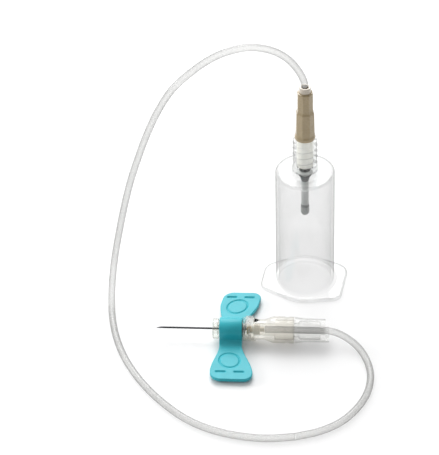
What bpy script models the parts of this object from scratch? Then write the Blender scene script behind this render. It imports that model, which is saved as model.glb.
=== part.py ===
"""Push-button winged blood collection needle with its tubing, luer connection and tube holder.

The holder stands on its flange with the mouth down. The winged needle lies flat beside it, and one
length of clear tubing joins the two. Everything is in metres with +Z up, and the table is at Z = 0.
"""
import math

import bmesh
import bpy
from mathutils import Matrix, Vector

MM = 0.001
CLEARANCE = 0.3 * MM

# Placing on the table
HOLDER_AT = Vector((17.15 * MM, 19.5 * MM, 0.0))
NOSE_AT = Vector((-13.49 * MM, -10.38 * MM, 0.0))
BARREL_YAW = math.radians(-1.5)
AXIS_HEIGHT = 4.5 * MM

# Tube holder
HOLDER_HEIGHT = 47.7 * MM
HOLDER_MOUTH_RADIUS = 10.05 * MM
HOLDER_TOP_RADIUS = 9.82 * MM
HOLDER_WALL = 1.0 * MM
SHOULDER_THICKNESS = 1.2 * MM
SHOULDER_FILLET = 0.6 * MM
MOUTH_LEAD_IN = 0.3 * MM
FLANGE_THICKNESS = 1.3 * MM
FLANGE_RADIUS = 12.3 * MM
TAB_REACH = 15.7 * MM
TAB_CORNER_RADIUS = 3.0 * MM
TAB_HALF_ANGLE = math.radians(27.0)
TAB_TURN = math.radians(-14.0)
BOSS_RADIUS = 5.25 * MM
BOSS_RISE = 0.7 * MM
SOCKET_WALL = 0.6 * MM
SOCKET_DEPTH = 3.4 * MM

# Luer connector that screws into the holder
THREAD_RADIUS = 3.6 * MM
COLLAR_RADIUS = 3.9 * MM
COLLAR_HEIGHT = 12.2 * MM
COLLAR_WALL = 0.85 * MM
COLLAR_WEB = 1.3 * MM
COLLAR_FOOT_RADIUS = 4.35 * MM
COLLAR_FOOT_HEIGHT = 0.8 * MM
COLLAR_RING_RISE = 0.14 * MM
COLLAR_RING_PITCH = 1.5 * MM
COLLAR_RINGS = 4
MALE_CONE_RADIUS = 1.95 * MM
MALE_CONE_TAPER = 0.2 * MM
MALE_CONE_RECESS = 0.9 * MM
NOZZLE_RADIUS = 1.6 * MM
NOZZLE_TIP_RADIUS = 1.0 * MM
NOZZLE_LENGTH = 2.4 * MM

# Rear needle and its rubber sleeve
REAR_NEEDLE_RADIUS = 0.36 * MM
REAR_NEEDLE_BORE = 0.18 * MM
SLEEVE_RADIUS = 1.25 * MM
SLEEVE_BULB_RADIUS = 1.45 * MM
SLEEVE_WALL = 0.42 * MM
SLEEVE_FLARE_RADIUS = 2.6 * MM
SLEEVE_FLARE_HEIGHT = 3.2 * MM
SLEEVE_LENGTH = 19.0 * MM
SLEEVE_BULB_LENGTH = 5.0 * MM

# Female luer adapter on the tubing
ADAPTER_SKIRT_RADIUS = 2.72 * MM
ADAPTER_RIM_RADIUS = 3.42 * MM
ADAPTER_RIM_HEIGHT = 1.2 * MM
ADAPTER_LOWER_RADIUS = 3.25 * MM
ADAPTER_STEP_RADIUS = 3.06 * MM
ADAPTER_LOWER_LENGTH = 9.9 * MM
ADAPTER_UPPER_RADIUS = 2.62 * MM
ADAPTER_UPPER_LENGTH = 7.8 * MM
ADAPTER_TOP_RADIUS = 1.85 * MM
ADAPTER_TOP_LENGTH = 2.0 * MM
ADAPTER_BORE = 0.6 * MM
ADAPTER_FLATS = 8
ADAPTER_TURN = math.radians(7.0)
TUBE_SEAT_DEPTH = 5.0 * MM

# Tubing
TUBING_RADIUS = 1.15 * MM
TUBING_STEP = 2.6 * TUBING_RADIUS * 2
LOOP_STEP = 1.9 * TUBING_RADIUS * 2

# Needle
NEEDLE_EXPOSED = 19.05 * MM
NEEDLE_RADIUS = 0.32 * MM
NEEDLE_BORE = 0.165 * MM
BEVEL_ANGLE = math.radians(14.0)

# Front barrel
NOSE_RADIUS = 3.4 * MM
NOSE_LENGTH = 2.0 * MM
NOSE_WALL = 1.5 * MM
NECK_RADIUS = 2.7 * MM
BARREL_RADIUS = 3.4 * MM
BARREL_BORE = 2.05 * MM
HOUSING_HALF = 3.3 * MM
HOUSING_CORNER = 4.0 * MM
HOUSING_LENGTH = 4.3 * MM
FRONT_BARREL_LENGTH = 27.0 * MM
END_FLANGE = 1.6 * MM
GROOVE_WIDTH = 1.4 * MM
GROOVE_DEPTH = 0.22 * MM
STRAIGHT_SHARE = 0.25
FLARE_SHARE = 0.4
BULGE_RADIUS = 4.42 * MM
SPIGOT_RADIUS = 3.15 * MM

# Rear barrel
TAIL_RADIUS = 3.9 * MM
TAIL_SHOULDER_RADIUS = 4.35 * MM
TAIL_TAPER_LENGTH = 3.4 * MM
TAIL_LENGTH = 10.1 * MM
TAIL_BORE = 3.1 * MM
TAIL_END_WALL = 1.6 * MM
TAIL_END_BORE = 1.5 * MM
SPIGOT_BORE = 2.35 * MM
LIP_LENGTH = 1.3 * MM
LIP_TOP = 1.2 * MM

# Wing set
WING_SLEEVE_LENGTH = 7.5 * MM
WING_SLEEVE_RADIUS = 3.8 * MM
WING_THICKNESS = 1.25 * MM
WING_FILLET = 0.45 * MM
WING_ROOT_HALF_WIDTH = 3.75 * MM
WING_REACH = 21.13 * MM
WING_FLARE_START = 5.0 * MM
WING_CORNER_RADIUS = 3.0 * MM
WING_EDGE_ROUND = 0.25 * MM
FRONT_TIP_HALF_WIDTH = 6.95 * MM
FRONT_FLARE_TO_TIP = 3.33 * MM
FRONT_SWEEP = math.radians(4.3)
BACK_TIP_HALF_WIDTH = 6.5 * MM
BACK_FLARE_TO_TIP = 5.53 * MM
BACK_SWEEP = math.radians(10.2)

# Needle hub, spring and button
HUB_START = 11.3 * MM
HUB_RADIUS = 1.75 * MM
HUB_FLANGE = 0.6 * MM
HUB_NECK_RADIUS = 1.2 * MM
HUB_NECK_LENGTH = 1.4 * MM
HUB_COLLAR_LENGTH = 2.3 * MM
HUB_NIPPLE_RADIUS = 0.8 * MM
HUB_NIPPLE_LENGTH = 1.5 * MM
SPRING_RADIUS = 1.35 * MM
SPRING_WIRE = 0.16 * MM
SPRING_TURNS = 11
BUTTON_LENGTH = 2.6 * MM
BUTTON_HALF_WIDTH = 2.4 * MM
BUTTON_THICKNESS = 0.9 * MM
BUTTON_RIBS = 3
BUTTON_RIB_HEIGHT = 0.18 * MM
BUTTON_TRAVEL = 0.9 * MM
LEG_THICKNESS = 0.45 * MM
LEG_LENGTH = 0.8 * MM
LEG_BOTTOM = 1.2 * MM

# Sizes that follow from the ones above
SHOULDER_Z = HOLDER_HEIGHT
BOSS_TOP_Z = SHOULDER_Z + BOSS_RISE
SOCKET_BOTTOM_Z = SHOULDER_Z - SOCKET_DEPTH
HOLDER_HOLE = THREAD_RADIUS + CLEARANCE
COLLAR_FOOT_Z = BOSS_TOP_Z + CLEARANCE
COLLAR_TOP_Z = COLLAR_FOOT_Z + COLLAR_HEIGHT
COLLAR_BORE = COLLAR_RADIUS - COLLAR_WALL
COLLAR_FLOOR_Z = COLLAR_FOOT_Z + COLLAR_WEB
NOZZLE_ROOT_Z = COLLAR_FOOT_Z
NEEDLE_SEAT = REAR_NEEDLE_RADIUS + CLEARANCE
SLEEVE_TOP_Z = NOZZLE_ROOT_Z - CLEARANCE
SLEEVE_TIP_Z = SLEEVE_TOP_Z - SLEEVE_LENGTH
SLEEVE_CAVITY = SLEEVE_RADIUS - SLEEVE_WALL
ADAPTER_BOTTOM_Z = COLLAR_FLOOR_Z + CLEARANCE
ADAPTER_RIM_Z = COLLAR_TOP_Z + CLEARANCE
ADAPTER_STEP_Z = ADAPTER_RIM_Z + ADAPTER_LOWER_LENGTH
ADAPTER_NECK_Z = ADAPTER_STEP_Z + ADAPTER_UPPER_LENGTH
ADAPTER_TOP_Z = ADAPTER_NECK_Z + ADAPTER_TOP_LENGTH
TUBE_SEAT = TUBING_RADIUS + CLEARANCE
SLEEVE_START = NOSE_LENGTH + CLEARANCE
SLEEVE_END = SLEEVE_START + WING_SLEEVE_LENGTH
HOUSING_START = SLEEVE_END + CLEARANCE
HOUSING_END = HOUSING_START + HOUSING_LENGTH
BUTTON_START = (HOUSING_START + HOUSING_END - BUTTON_LENGTH) / 2
BUTTON_END = BUTTON_START + BUTTON_LENGTH
GROOVE_START = FRONT_BARREL_LENGTH - END_FLANGE - GROOVE_WIDTH
FLARE_START = HOUSING_END + (GROOVE_START - HOUSING_END) * STRAIGHT_SHARE
FLARE_LENGTH = (GROOVE_START - HOUSING_END) * FLARE_SHARE
SPIGOT_START = FLARE_START + FLARE_LENGTH + CLEARANCE
TAIL_START = FRONT_BARREL_LENGTH + CLEARANCE
TAIL_END = TAIL_START + TAIL_LENGTH
HUB_NECK_START = HUB_START + HUB_FLANGE
HUB_COLLAR_START = HUB_NECK_START + HUB_NECK_LENGTH
HUB_COLLAR_END = HUB_COLLAR_START + HUB_COLLAR_LENGTH
HUB_END = HUB_COLLAR_END + HUB_NIPPLE_LENGTH
LEG_START = HUB_NECK_START
LEG_INNER = HUB_RADIUS + CLEARANCE * 0.7
BUTTON_BASE = HUB_RADIUS + BUTTON_TRAVEL + CLEARANCE
WING_PIVOT_SIDE = WING_SLEEVE_RADIUS + WING_FILLET + CLEARANCE / 2
WING_ROOT = WING_PIVOT_SIDE + CLEARANCE / 2
WING_TOP_DROP = WING_SLEEVE_RADIUS - WING_THICKNESS

# The tubing's own points, in world metres, from the adapter down to the table and round to the barrel
ARCH_ROUTE = [
    (16.65, 19.45, 83.6), (15.15, 19.45, 86.9), (11.95, 19.35, 91.3), (7.95, 19.25, 94.2),
    (3.35, 19.15, 95.7), (-1.35, 18.95, 96.0), (-6.65, 18.65, 94.9), (-12.25, 18.35, 92.4),
    (-18.85, 17.95, 87.5), (-24.85, 17.45, 81.6), (-30.05, 16.85, 73.3), (-34.15, 16.25, 64.3),
    (-37.45, 15.65, 55.5), (-40.25, 15.05, 47.2), (-42.75, 14.55, 38.1), (-45.35, 13.85, 27.0),
    (-47.15, 13.25, 18.6), (-48.45, 11.85, 11.2), (-49.05, 8.85, 5.6), (-48.95, 4.25, 2.4),
]
TABLE_ROUTE = [
    (-48.25, -1.65, 1.3), (-45.85, -11.95, 1.2), (-41.85, -22.35, 1.2), (-35.65, -32.95, 1.2),
    (-28.45, -41.85, 1.2), (-20.25, -49.25, 1.2), (-11.85, -53.85, 1.2), (-3.25, -56.35, 1.2),
    (5.45, -57.25, 1.2), (14.05, -56.45, 1.2),
]
LOOP_ROUTE = [
    (14.05, -56.45, 1.2), (21.55, -54.15, 1.2), (28.25, -50.15, 1.2), (33.35, -44.35, 1.2),
    (36.95, -37.35, 1.2), (38.35, -29.45, 1.2), (37.35, -22.15, 1.3), (34.65, -16.65, 2.0),
    (30.85, -13.35, 3.2), (27.35, -11.95, 4.2),
]


def clear_scene():
    for old in list(bpy.data.objects):
        bpy.data.objects.remove(old, do_unlink=True)


def plain_material(name, color, roughness, metallic=0.0, transmission=0.0):
    made = bpy.data.materials.new(name)
    made.use_nodes = True
    shader = made.node_tree.nodes["Principled BSDF"]
    shader.inputs["Base Color"].default_value = (*color, 1.0)
    shader.inputs["Roughness"].default_value = roughness
    shader.inputs["Metallic"].default_value = metallic
    shader.inputs["Transmission Weight"].default_value = transmission
    made.diffuse_color = (*color, 1.0)
    return made


def add_object(name, mesh, material, parent=None):
    made = bpy.data.objects.new(name, mesh)
    bpy.context.scene.collection.objects.link(made)
    if material is not None:
        mesh.materials.append(material)
    made.parent = parent
    return made


def add_empty(name, location, parent=None, yaw=0.0):
    made = bpy.data.objects.new(name, None)
    bpy.context.scene.collection.objects.link(made)
    made.parent = parent
    made.location = location
    made.rotation_euler = (0.0, 0.0, yaw)
    return made


def shade_round(mesh, angle=math.radians(32.0)):
    mesh.shade_smooth()
    mesh.set_sharp_from_angle(angle=angle)


def section_radius(angle, section):
    """How far a section's edge is from its centre: a plain radius, or (flat, corner, sides, turn)."""
    if not isinstance(section, tuple):
        return section
    flat, corner, sides, turn = section
    step = math.tau / sides
    off_flat = (angle - turn + step / 2) % step - step / 2
    return min(flat / math.cos(off_flat), corner)


def turned_mesh(name, profile, steps, along="Z"):
    """A closed profile of (height, section) pairs, swept once round its axis.

    The profile runs down the outside and back up the inside. A section of 0 is a point on the axis.
    """
    made = bmesh.new()
    rings = []
    for height, section in profile:
        if section == 0:
            rings.append([made.verts.new((0.0, 0.0, height))])
            continue
        ring = []
        for step in range(steps):
            angle = math.tau * step / steps
            reach = section_radius(angle, section)
            ring.append(made.verts.new((reach * math.cos(angle), reach * math.sin(angle), height)))
        rings.append(ring)
    closed = len(rings[0]) > 1 and len(rings[-1]) > 1
    pairs = list(zip(rings, rings[1:])) + ([(rings[-1], rings[0])] if closed else [])
    for upper, lower in pairs:
        if len(upper) == 1 and len(lower) == 1:
            continue
        for step in range(steps):
            after = (step + 1) % steps
            if len(upper) == 1:
                made.faces.new((upper[0], lower[step], lower[after]))
            elif len(lower) == 1:
                made.faces.new((upper[step], lower[0], upper[after]))
            else:
                made.faces.new((upper[step], lower[step], lower[after], upper[after]))
    if along == "X":
        bmesh.ops.rotate(made, verts=made.verts, matrix=Matrix.Rotation(math.radians(90.0), 3, "Y"))
        bmesh.ops.rotate(made, verts=made.verts, matrix=Matrix.Rotation(math.radians(90.0), 3, "X"))
    bmesh.ops.recalc_face_normals(made, faces=made.faces)
    mesh = bpy.data.meshes.new(name)
    made.to_mesh(mesh)
    made.free()
    shade_round(mesh)
    return mesh


def prism_mesh(name, outline, low, high):
    """A flat outline of (x, y) points extruded from low to high."""
    made = bmesh.new()
    base = made.faces.new([made.verts.new((x, y, low)) for x, y in outline])
    grown = bmesh.ops.extrude_face_region(made, geom=[base])
    raised = [v for v in grown["geom"] if isinstance(v, bmesh.types.BMVert)]
    bmesh.ops.translate(made, verts=raised, vec=(0.0, 0.0, high - low))
    bmesh.ops.recalc_face_normals(made, faces=made.faces)
    mesh = bpy.data.meshes.new(name)
    made.to_mesh(mesh)
    made.free()
    return mesh


def box_mesh(name, low, high):
    outline = [(low[0], low[1]), (high[0], low[1]), (high[0], high[1]), (low[0], high[1])]
    return prism_mesh(name, outline, low[2], high[2])


def hidden_tool(name, mesh, parent):
    made = add_object(name, mesh, None, parent)
    made.hide_render = True
    made.display_type = "WIRE"
    return made


def combine(target, tool, operation):
    cut = target.modifiers.new(tool.name, "BOOLEAN")
    cut.operation = operation
    cut.solver = "EXACT"
    cut.object = tool


def arc(centre, radius, start, end, steps):
    """(x, y) points of an arc, both ends included, with its angles in degrees."""
    points = []
    for step in range(steps + 1):
        angle = math.radians(start + (end - start) * step / steps)
        points.append((centre[0] + radius * math.cos(angle), centre[1] + radius * math.sin(angle)))
    return points


def hull_of_discs(discs, steps):
    """The outline of a band stretched round (x, y, radius) discs."""
    points = []
    for step in range(steps):
        angle = math.tau * step / steps
        toward = Vector((math.cos(angle), math.sin(angle)))
        x, y, radius = max(discs, key=lambda d: d[0] * toward.x + d[1] * toward.y + d[2])
        points.append((x + radius * toward.x, y + radius * toward.y))
    return points


def flange_outline():
    """A round flange with a finger tab on either side."""
    discs = [(0.0, 0.0, FLANGE_RADIUS)]
    reach = TAB_REACH - TAB_CORNER_RADIUS
    for side in (0.0, math.pi):
        for corner in (-TAB_HALF_ANGLE, TAB_HALF_ANGLE):
            angle = TAB_TURN + side + corner
            discs.append((reach * math.cos(angle), reach * math.sin(angle), TAB_CORNER_RADIUS))
    return hull_of_discs(discs, 96)


def holder_shell_profile():
    """(height, radius) pairs down the outside of the wall and back up its inside."""
    outer = [(z, r) for r, z in arc(
        (HOLDER_TOP_RADIUS - SHOULDER_FILLET, SHOULDER_Z - SHOULDER_FILLET), SHOULDER_FILLET, 90, 0, 5)]
    inner_radius = HOLDER_TOP_RADIUS - HOLDER_WALL
    inner_fillet = max(SHOULDER_FILLET - HOLDER_WALL, 0.2 * MM)
    under = SHOULDER_Z - SHOULDER_THICKNESS
    inner = [(z, r) for r, z in arc(
        (inner_radius - inner_fillet, under - inner_fillet), inner_fillet, 0, 90, 3)]
    foot = FLANGE_THICKNESS / 2
    boss = [
        (BOSS_TOP_Z, HOLDER_HOLE), (BOSS_TOP_Z, BOSS_RADIUS - BOSS_RISE / 3),
        (BOSS_TOP_Z - BOSS_RISE / 3, BOSS_RADIUS), (SHOULDER_Z, BOSS_RADIUS),
    ]
    wall = [(foot, HOLDER_MOUTH_RADIUS), (foot, HOLDER_MOUTH_RADIUS - HOLDER_WALL)]
    socket = [
        (under, HOLDER_HOLE + SOCKET_WALL), (SOCKET_BOTTOM_Z, HOLDER_HOLE + SOCKET_WALL),
        (SOCKET_BOTTOM_Z, HOLDER_HOLE),
    ]
    return boss + outer + wall + inner + socket


def make_holder(finish):
    base = add_empty("holder_axis", HOLDER_AT)
    shell = turned_mesh("tube_holder", holder_shell_profile(), 56)
    holder = add_object("tube_holder", shell, finish, base)
    plate = hidden_tool("flange_plate", prism_mesh("flange_plate", flange_outline(), 0.0, FLANGE_THICKNESS), base)
    edge = plate.modifiers.new("rounded edge", "BEVEL")
    edge.width = FLANGE_THICKNESS / 4
    edge.segments = 2
    edge.limit_method = "ANGLE"
    edge.angle_limit = math.radians(50.0)
    opening_radius = HOLDER_MOUTH_RADIUS - HOLDER_WALL + MOUTH_LEAD_IN
    depth = FLANGE_THICKNESS
    opening = turned_mesh("mouth_opening", [(2 * depth, 0), (2 * depth, opening_radius),
                                            (-depth, opening_radius), (-depth, 0)], 56)
    combine(plate, hidden_tool("mouth_opening", opening, base), "DIFFERENCE")
    combine(holder, plate, "UNION")
    return base


def collar_profile():
    """The screw-in connector: collar, male cone in it, thread below, and the nozzle in the thread."""
    rings = []
    for ring in range(COLLAR_RINGS):
        middle = COLLAR_TOP_Z - COLLAR_RING_PITCH * (ring + 1)
        rings += [
            (middle + COLLAR_RING_RISE * 2, COLLAR_RADIUS), (middle, COLLAR_RADIUS + COLLAR_RING_RISE),
            (middle - COLLAR_RING_RISE * 2, COLLAR_RADIUS),
        ]
    foot_top = COLLAR_FOOT_Z + COLLAR_FOOT_HEIGHT
    outside = [
        (foot_top + COLLAR_FOOT_RADIUS - COLLAR_RADIUS, COLLAR_RADIUS), (foot_top, COLLAR_FOOT_RADIUS),
        (COLLAR_FOOT_Z, COLLAR_FOOT_RADIUS), (COLLAR_FOOT_Z, THREAD_RADIUS),
        (SOCKET_BOTTOM_Z, THREAD_RADIUS),
    ]
    flare_room = SLEEVE_FLARE_RADIUS + CLEARANCE
    recess = [
        (SOCKET_BOTTOM_Z, flare_room), (NOZZLE_ROOT_Z, flare_room), (NOZZLE_ROOT_Z, NOZZLE_RADIUS),
        (NOZZLE_ROOT_Z - NOZZLE_LENGTH, NOZZLE_TIP_RADIUS), (NOZZLE_ROOT_Z - NOZZLE_LENGTH, NEEDLE_SEAT),
    ]
    cone_top = COLLAR_TOP_Z - MALE_CONE_RECESS
    cone = [
        (cone_top, NEEDLE_SEAT), (cone_top, MALE_CONE_RADIUS),
        (COLLAR_FLOOR_Z, MALE_CONE_RADIUS + MALE_CONE_TAPER), (COLLAR_FLOOR_Z, COLLAR_BORE),
    ]
    return [(COLLAR_TOP_Z, COLLAR_BORE), (COLLAR_TOP_Z, COLLAR_RADIUS)] + rings + outside + recess + cone


def rubber_sleeve_profile():
    """A closed rubber tube: flared over the nozzle, straight, then bulbed at its round tip."""
    flare_end = SLEEVE_TOP_Z - SLEEVE_FLARE_HEIGHT
    nozzle_end = NOZZLE_ROOT_Z - NOZZLE_LENGTH
    bulb_top = SLEEVE_TIP_Z + SLEEVE_BULB_LENGTH
    tip = arc((0.0, SLEEVE_TIP_Z + SLEEVE_BULB_RADIUS), SLEEVE_BULB_RADIUS, 0, -90, 4)
    outside = [
        (SLEEVE_TOP_Z, SLEEVE_FLARE_RADIUS), (flare_end, SLEEVE_RADIUS),
        (bulb_top, SLEEVE_RADIUS), (bulb_top - SLEEVE_BULB_RADIUS, SLEEVE_BULB_RADIUS),
    ]
    outside += [(z, r) for r, z in tip[:-1]] + [(SLEEVE_TIP_Z, 0)]
    floor = SLEEVE_TIP_Z + SLEEVE_WALL * 2
    inside = [
        (floor, 0), (floor, SLEEVE_CAVITY / 2), (floor + SLEEVE_CAVITY / 2, SLEEVE_CAVITY),
        (nozzle_end - CLEARANCE, SLEEVE_CAVITY), (nozzle_end - CLEARANCE, NOZZLE_TIP_RADIUS + CLEARANCE),
        (SLEEVE_TOP_Z, NOZZLE_RADIUS + CLEARANCE),
    ]
    return outside, inside


def adapter_flats(radius):
    corner = radius
    return (corner * math.cos(math.pi / ADAPTER_FLATS) * 1.015, corner, ADAPTER_FLATS, ADAPTER_TURN)


def adapter_profile():
    """The tubing's female luer: skirt in the collar, flared rim, two grip lengths with flats, tube ring."""
    round_edge = 0.25 * MM
    step = ADAPTER_STEP_RADIUS - ADAPTER_UPPER_RADIUS
    outside = [
        (ADAPTER_TOP_Z, ADAPTER_TOP_RADIUS - round_edge), (ADAPTER_TOP_Z - round_edge, ADAPTER_TOP_RADIUS),
        (ADAPTER_NECK_Z, ADAPTER_TOP_RADIUS), (ADAPTER_NECK_Z, adapter_flats(ADAPTER_UPPER_RADIUS - round_edge)),
        (ADAPTER_NECK_Z - round_edge, adapter_flats(ADAPTER_UPPER_RADIUS)),
        (ADAPTER_STEP_Z + step, adapter_flats(ADAPTER_UPPER_RADIUS)),
        (ADAPTER_STEP_Z, adapter_flats(ADAPTER_STEP_RADIUS)),
        (ADAPTER_RIM_Z + ADAPTER_RIM_HEIGHT * 2, adapter_flats(ADAPTER_LOWER_RADIUS)),
        (ADAPTER_RIM_Z + ADAPTER_RIM_HEIGHT, ADAPTER_RIM_RADIUS - round_edge),
        (ADAPTER_RIM_Z + round_edge, ADAPTER_RIM_RADIUS), (ADAPTER_RIM_Z, ADAPTER_RIM_RADIUS - round_edge),
        (ADAPTER_RIM_Z, ADAPTER_SKIRT_RADIUS), (ADAPTER_BOTTOM_Z, ADAPTER_SKIRT_RADIUS),
    ]
    mouth = MALE_CONE_RADIUS + MALE_CONE_TAPER + CLEARANCE
    cone_end = COLLAR_TOP_Z - MALE_CONE_RECESS + CLEARANCE * 2
    inside = [
        (ADAPTER_BOTTOM_Z, mouth), (cone_end, mouth - MALE_CONE_TAPER), (cone_end, ADAPTER_BORE),
        (ADAPTER_TOP_Z - TUBE_SEAT_DEPTH, ADAPTER_BORE), (ADAPTER_TOP_Z - TUBE_SEAT_DEPTH, TUBE_SEAT),
        (ADAPTER_TOP_Z, TUBE_SEAT),
    ]
    return outside + inside


def pipe_profile(low, high, radius, bore):
    return [(high, bore), (high, radius), (low, radius), (low, bore)]


def sharpen(pipe, tip, direction, radius, parent):
    """Cuts a slanted point on a pipe along the parent's X or Z, ending at tip."""
    length = radius * 2 / math.tan(BEVEL_ANGLE)
    reach = radius * 4
    wedge = [(0.0, -radius * 1.001), (length, radius * 1.001), (length, reach), (-reach, reach), (-reach, -radius * 1.001)]
    mesh = prism_mesh(pipe.name + "_point", wedge, -reach, reach)
    tool = hidden_tool(pipe.name + "_point", mesh, parent)
    tool.matrix_local = Matrix.Translation(tip) @ direction
    combine(pipe, tool, "DIFFERENCE")


def make_luer(parent, clear, steel, rubber, tan):
    add_object("luer_connector", turned_mesh("luer_connector", collar_profile(), 40), clear, parent)
    outside, inside = rubber_sleeve_profile()
    add_object("rubber_sleeve", turned_mesh("rubber_sleeve", outside + inside, 24), rubber, parent)
    needle_low = SLEEVE_TIP_Z + SLEEVE_WALL * 2 + CLEARANCE * 2
    needle_high = COLLAR_FLOOR_Z
    pipe = turned_mesh("rear_needle", pipe_profile(needle_low, needle_high, REAR_NEEDLE_RADIUS, REAR_NEEDLE_BORE), 12)
    needle = add_object("rear_needle", pipe, steel, parent)
    upward = Matrix(((0, 1, 0, 0), (0, 0, 1, 0), (1, 0, 0, 0), (0, 0, 0, 1)))
    sharpen(needle, Vector((0.0, 0.0, needle_low)), upward, REAR_NEEDLE_RADIUS, parent)
    add_object("luer_adapter", turned_mesh("luer_adapter", adapter_profile(), 48), tan, parent)


def smooth_route(points, step):
    """Points about a step apart on one smooth curve through hand-placed points."""
    ends = [points[0] * 2 - points[1]] + points + [points[-1] * 2 - points[-2]]
    dense = []
    for before, start, end, after in zip(ends, ends[1:], ends[2:], ends[3:]):
        knots = [0.0]
        for a, b in ((before, start), (start, end), (end, after)):
            knots.append(knots[-1] + math.sqrt((b - a).length))
        for part in range(16):
            at = knots[1] + (knots[2] - knots[1]) * part / 16
            dense.append(spline_point((before, start, end, after), knots, at))
    dense.append(points[-1])
    lengths = [0.0]
    for a, b in zip(dense, dense[1:]):
        lengths.append(lengths[-1] + (b - a).length)
    count = max(2, round(lengths[-1] / step))
    even = []
    place = 0
    for number in range(count + 1):
        along = lengths[-1] * number / count
        while place < len(dense) - 2 and lengths[place + 1] < along:
            place += 1
        share = (along - lengths[place]) / (lengths[place + 1] - lengths[place])
        even.append(dense[place].lerp(dense[place + 1], min(max(share, 0.0), 1.0)))
    return even


def spline_point(corners, knots, at):
    """A point of a centripetal curve between the second and third corner."""
    level = list(corners)
    for depth in (1, 2, 3):
        grown = []
        for index in range(len(level) - 1):
            first = index if depth < 3 else 1
            last = index + depth if depth < 3 else 2
            share = (at - knots[first]) / (knots[last] - knots[first])
            grown.append(level[index].lerp(level[index + 1], share))
        level = grown
    return level[0]


def tube_object(name, points, radius, resolution, finish):
    curve = bpy.data.curves.new(name, "CURVE")
    curve.dimensions = "3D"
    curve.bevel_depth = radius
    curve.bevel_resolution = resolution
    curve.use_fill_caps = True
    line = curve.splines.new("POLY")
    line.points.add(len(points) - 1)
    for point, place in zip(line.points, points):
        point.co = (*place, 1.0)
    curve.materials.append(finish)
    made = bpy.data.objects.new(name, curve)
    bpy.context.scene.collection.objects.link(made)
    return made


def barrel_point(along, side=0.0, up=0.0):
    """A world point from a place on the barrel's own axes."""
    place = Matrix.Rotation(BARREL_YAW, 3, "Z") @ Vector((along, side, up))
    return place + NOSE_AT + Vector((0.0, 0.0, AXIS_HEIGHT))


def make_tubing(finish):
    """The tubing in two lengths that meet at the front of the loop, where it never moves."""
    start = HOLDER_AT + Vector((0.0, 0.0, ADAPTER_TOP_Z + CLEARANCE))
    rest = [start] + [Vector(p) * MM for p in ARCH_ROUTE + TABLE_ROUTE]
    loop = [Vector(p) * MM for p in LOOP_ROUTE]
    inside = [barrel_point(TAIL_END + LIP_LENGTH / 2), barrel_point(TAIL_END - TAIL_END_WALL),
              barrel_point((TAIL_END + HUB_END) / 2), barrel_point(HUB_END + CLEARANCE)]
    toward = (loop[1] - loop[0]).normalized()
    loop[0] = loop[0] + toward * CLEARANCE
    tube_object("tubing", smooth_route(rest, TUBING_STEP), TUBING_RADIUS, 2, finish)
    tube_object("tubing_loop", smooth_route(loop + inside, LOOP_STEP), TUBING_RADIUS, 2, finish)


def front_barrel_profile():
    """Nose disc, neck under the wing sleeve, squared button housing, barrel, flare and end flange."""
    edge = 0.35 * MM
    housing = (HOUSING_HALF, HOUSING_CORNER, 4, 0.0)
    housing_edge = (HOUSING_HALF - edge, HOUSING_CORNER - edge, 4, 0.0)
    needle_hole = NEEDLE_RADIUS + CLEARANCE
    flare = []
    for step in range(1, 6):
        share = step / 5
        swell = share * share * (3 - 2 * share)
        flare.append((FLARE_START + FLARE_LENGTH * share, BARREL_RADIUS + (BULGE_RADIUS - BARREL_RADIUS) * swell))
    outside = [
        (0.0, NOSE_RADIUS - edge), (edge, NOSE_RADIUS), (NOSE_LENGTH - edge, NOSE_RADIUS),
        (NOSE_LENGTH, NOSE_RADIUS - edge), (NOSE_LENGTH, NECK_RADIUS), (HOUSING_START, NECK_RADIUS),
        (HOUSING_START, housing_edge), (HOUSING_START + edge, housing), (HOUSING_END - edge, housing),
        (HOUSING_END, (HOUSING_HALF, BARREL_RADIUS, 4, 0.0)), (HOUSING_END + edge, BARREL_RADIUS),
        (FLARE_START, BARREL_RADIUS),
    ] + flare + [
        (GROOVE_START, BULGE_RADIUS), (GROOVE_START, BULGE_RADIUS - GROOVE_DEPTH),
        (GROOVE_START + GROOVE_WIDTH, BULGE_RADIUS - GROOVE_DEPTH), (GROOVE_START + GROOVE_WIDTH, BULGE_RADIUS),
        (FRONT_BARREL_LENGTH, BULGE_RADIUS),
    ]
    socket = SPIGOT_RADIUS + CLEARANCE
    inside = [
        (FRONT_BARREL_LENGTH, socket), (SPIGOT_START - CLEARANCE, socket),
        (SPIGOT_START - CLEARANCE, BARREL_BORE), (NOSE_WALL, BARREL_BORE), (NOSE_WALL, needle_hole),
        (0.0, needle_hole),
    ]
    return outside + inside


def make_front_barrel(parent, finish):
    mesh = turned_mesh("front_barrel", front_barrel_profile(), 40, along="X")
    barrel = add_object("front_barrel", mesh, finish, parent)
    side = BUTTON_HALF_WIDTH + CLEARANCE
    low = (BUTTON_START - CLEARANCE, -side, -(LEG_BOTTOM + BUTTON_TRAVEL + CLEARANCE))
    high = (BUTTON_END + CLEARANCE, side, HOUSING_CORNER * 2)
    combine(barrel, hidden_tool("button_window", box_mesh("button_window", low, high), parent), "DIFFERENCE")


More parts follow.
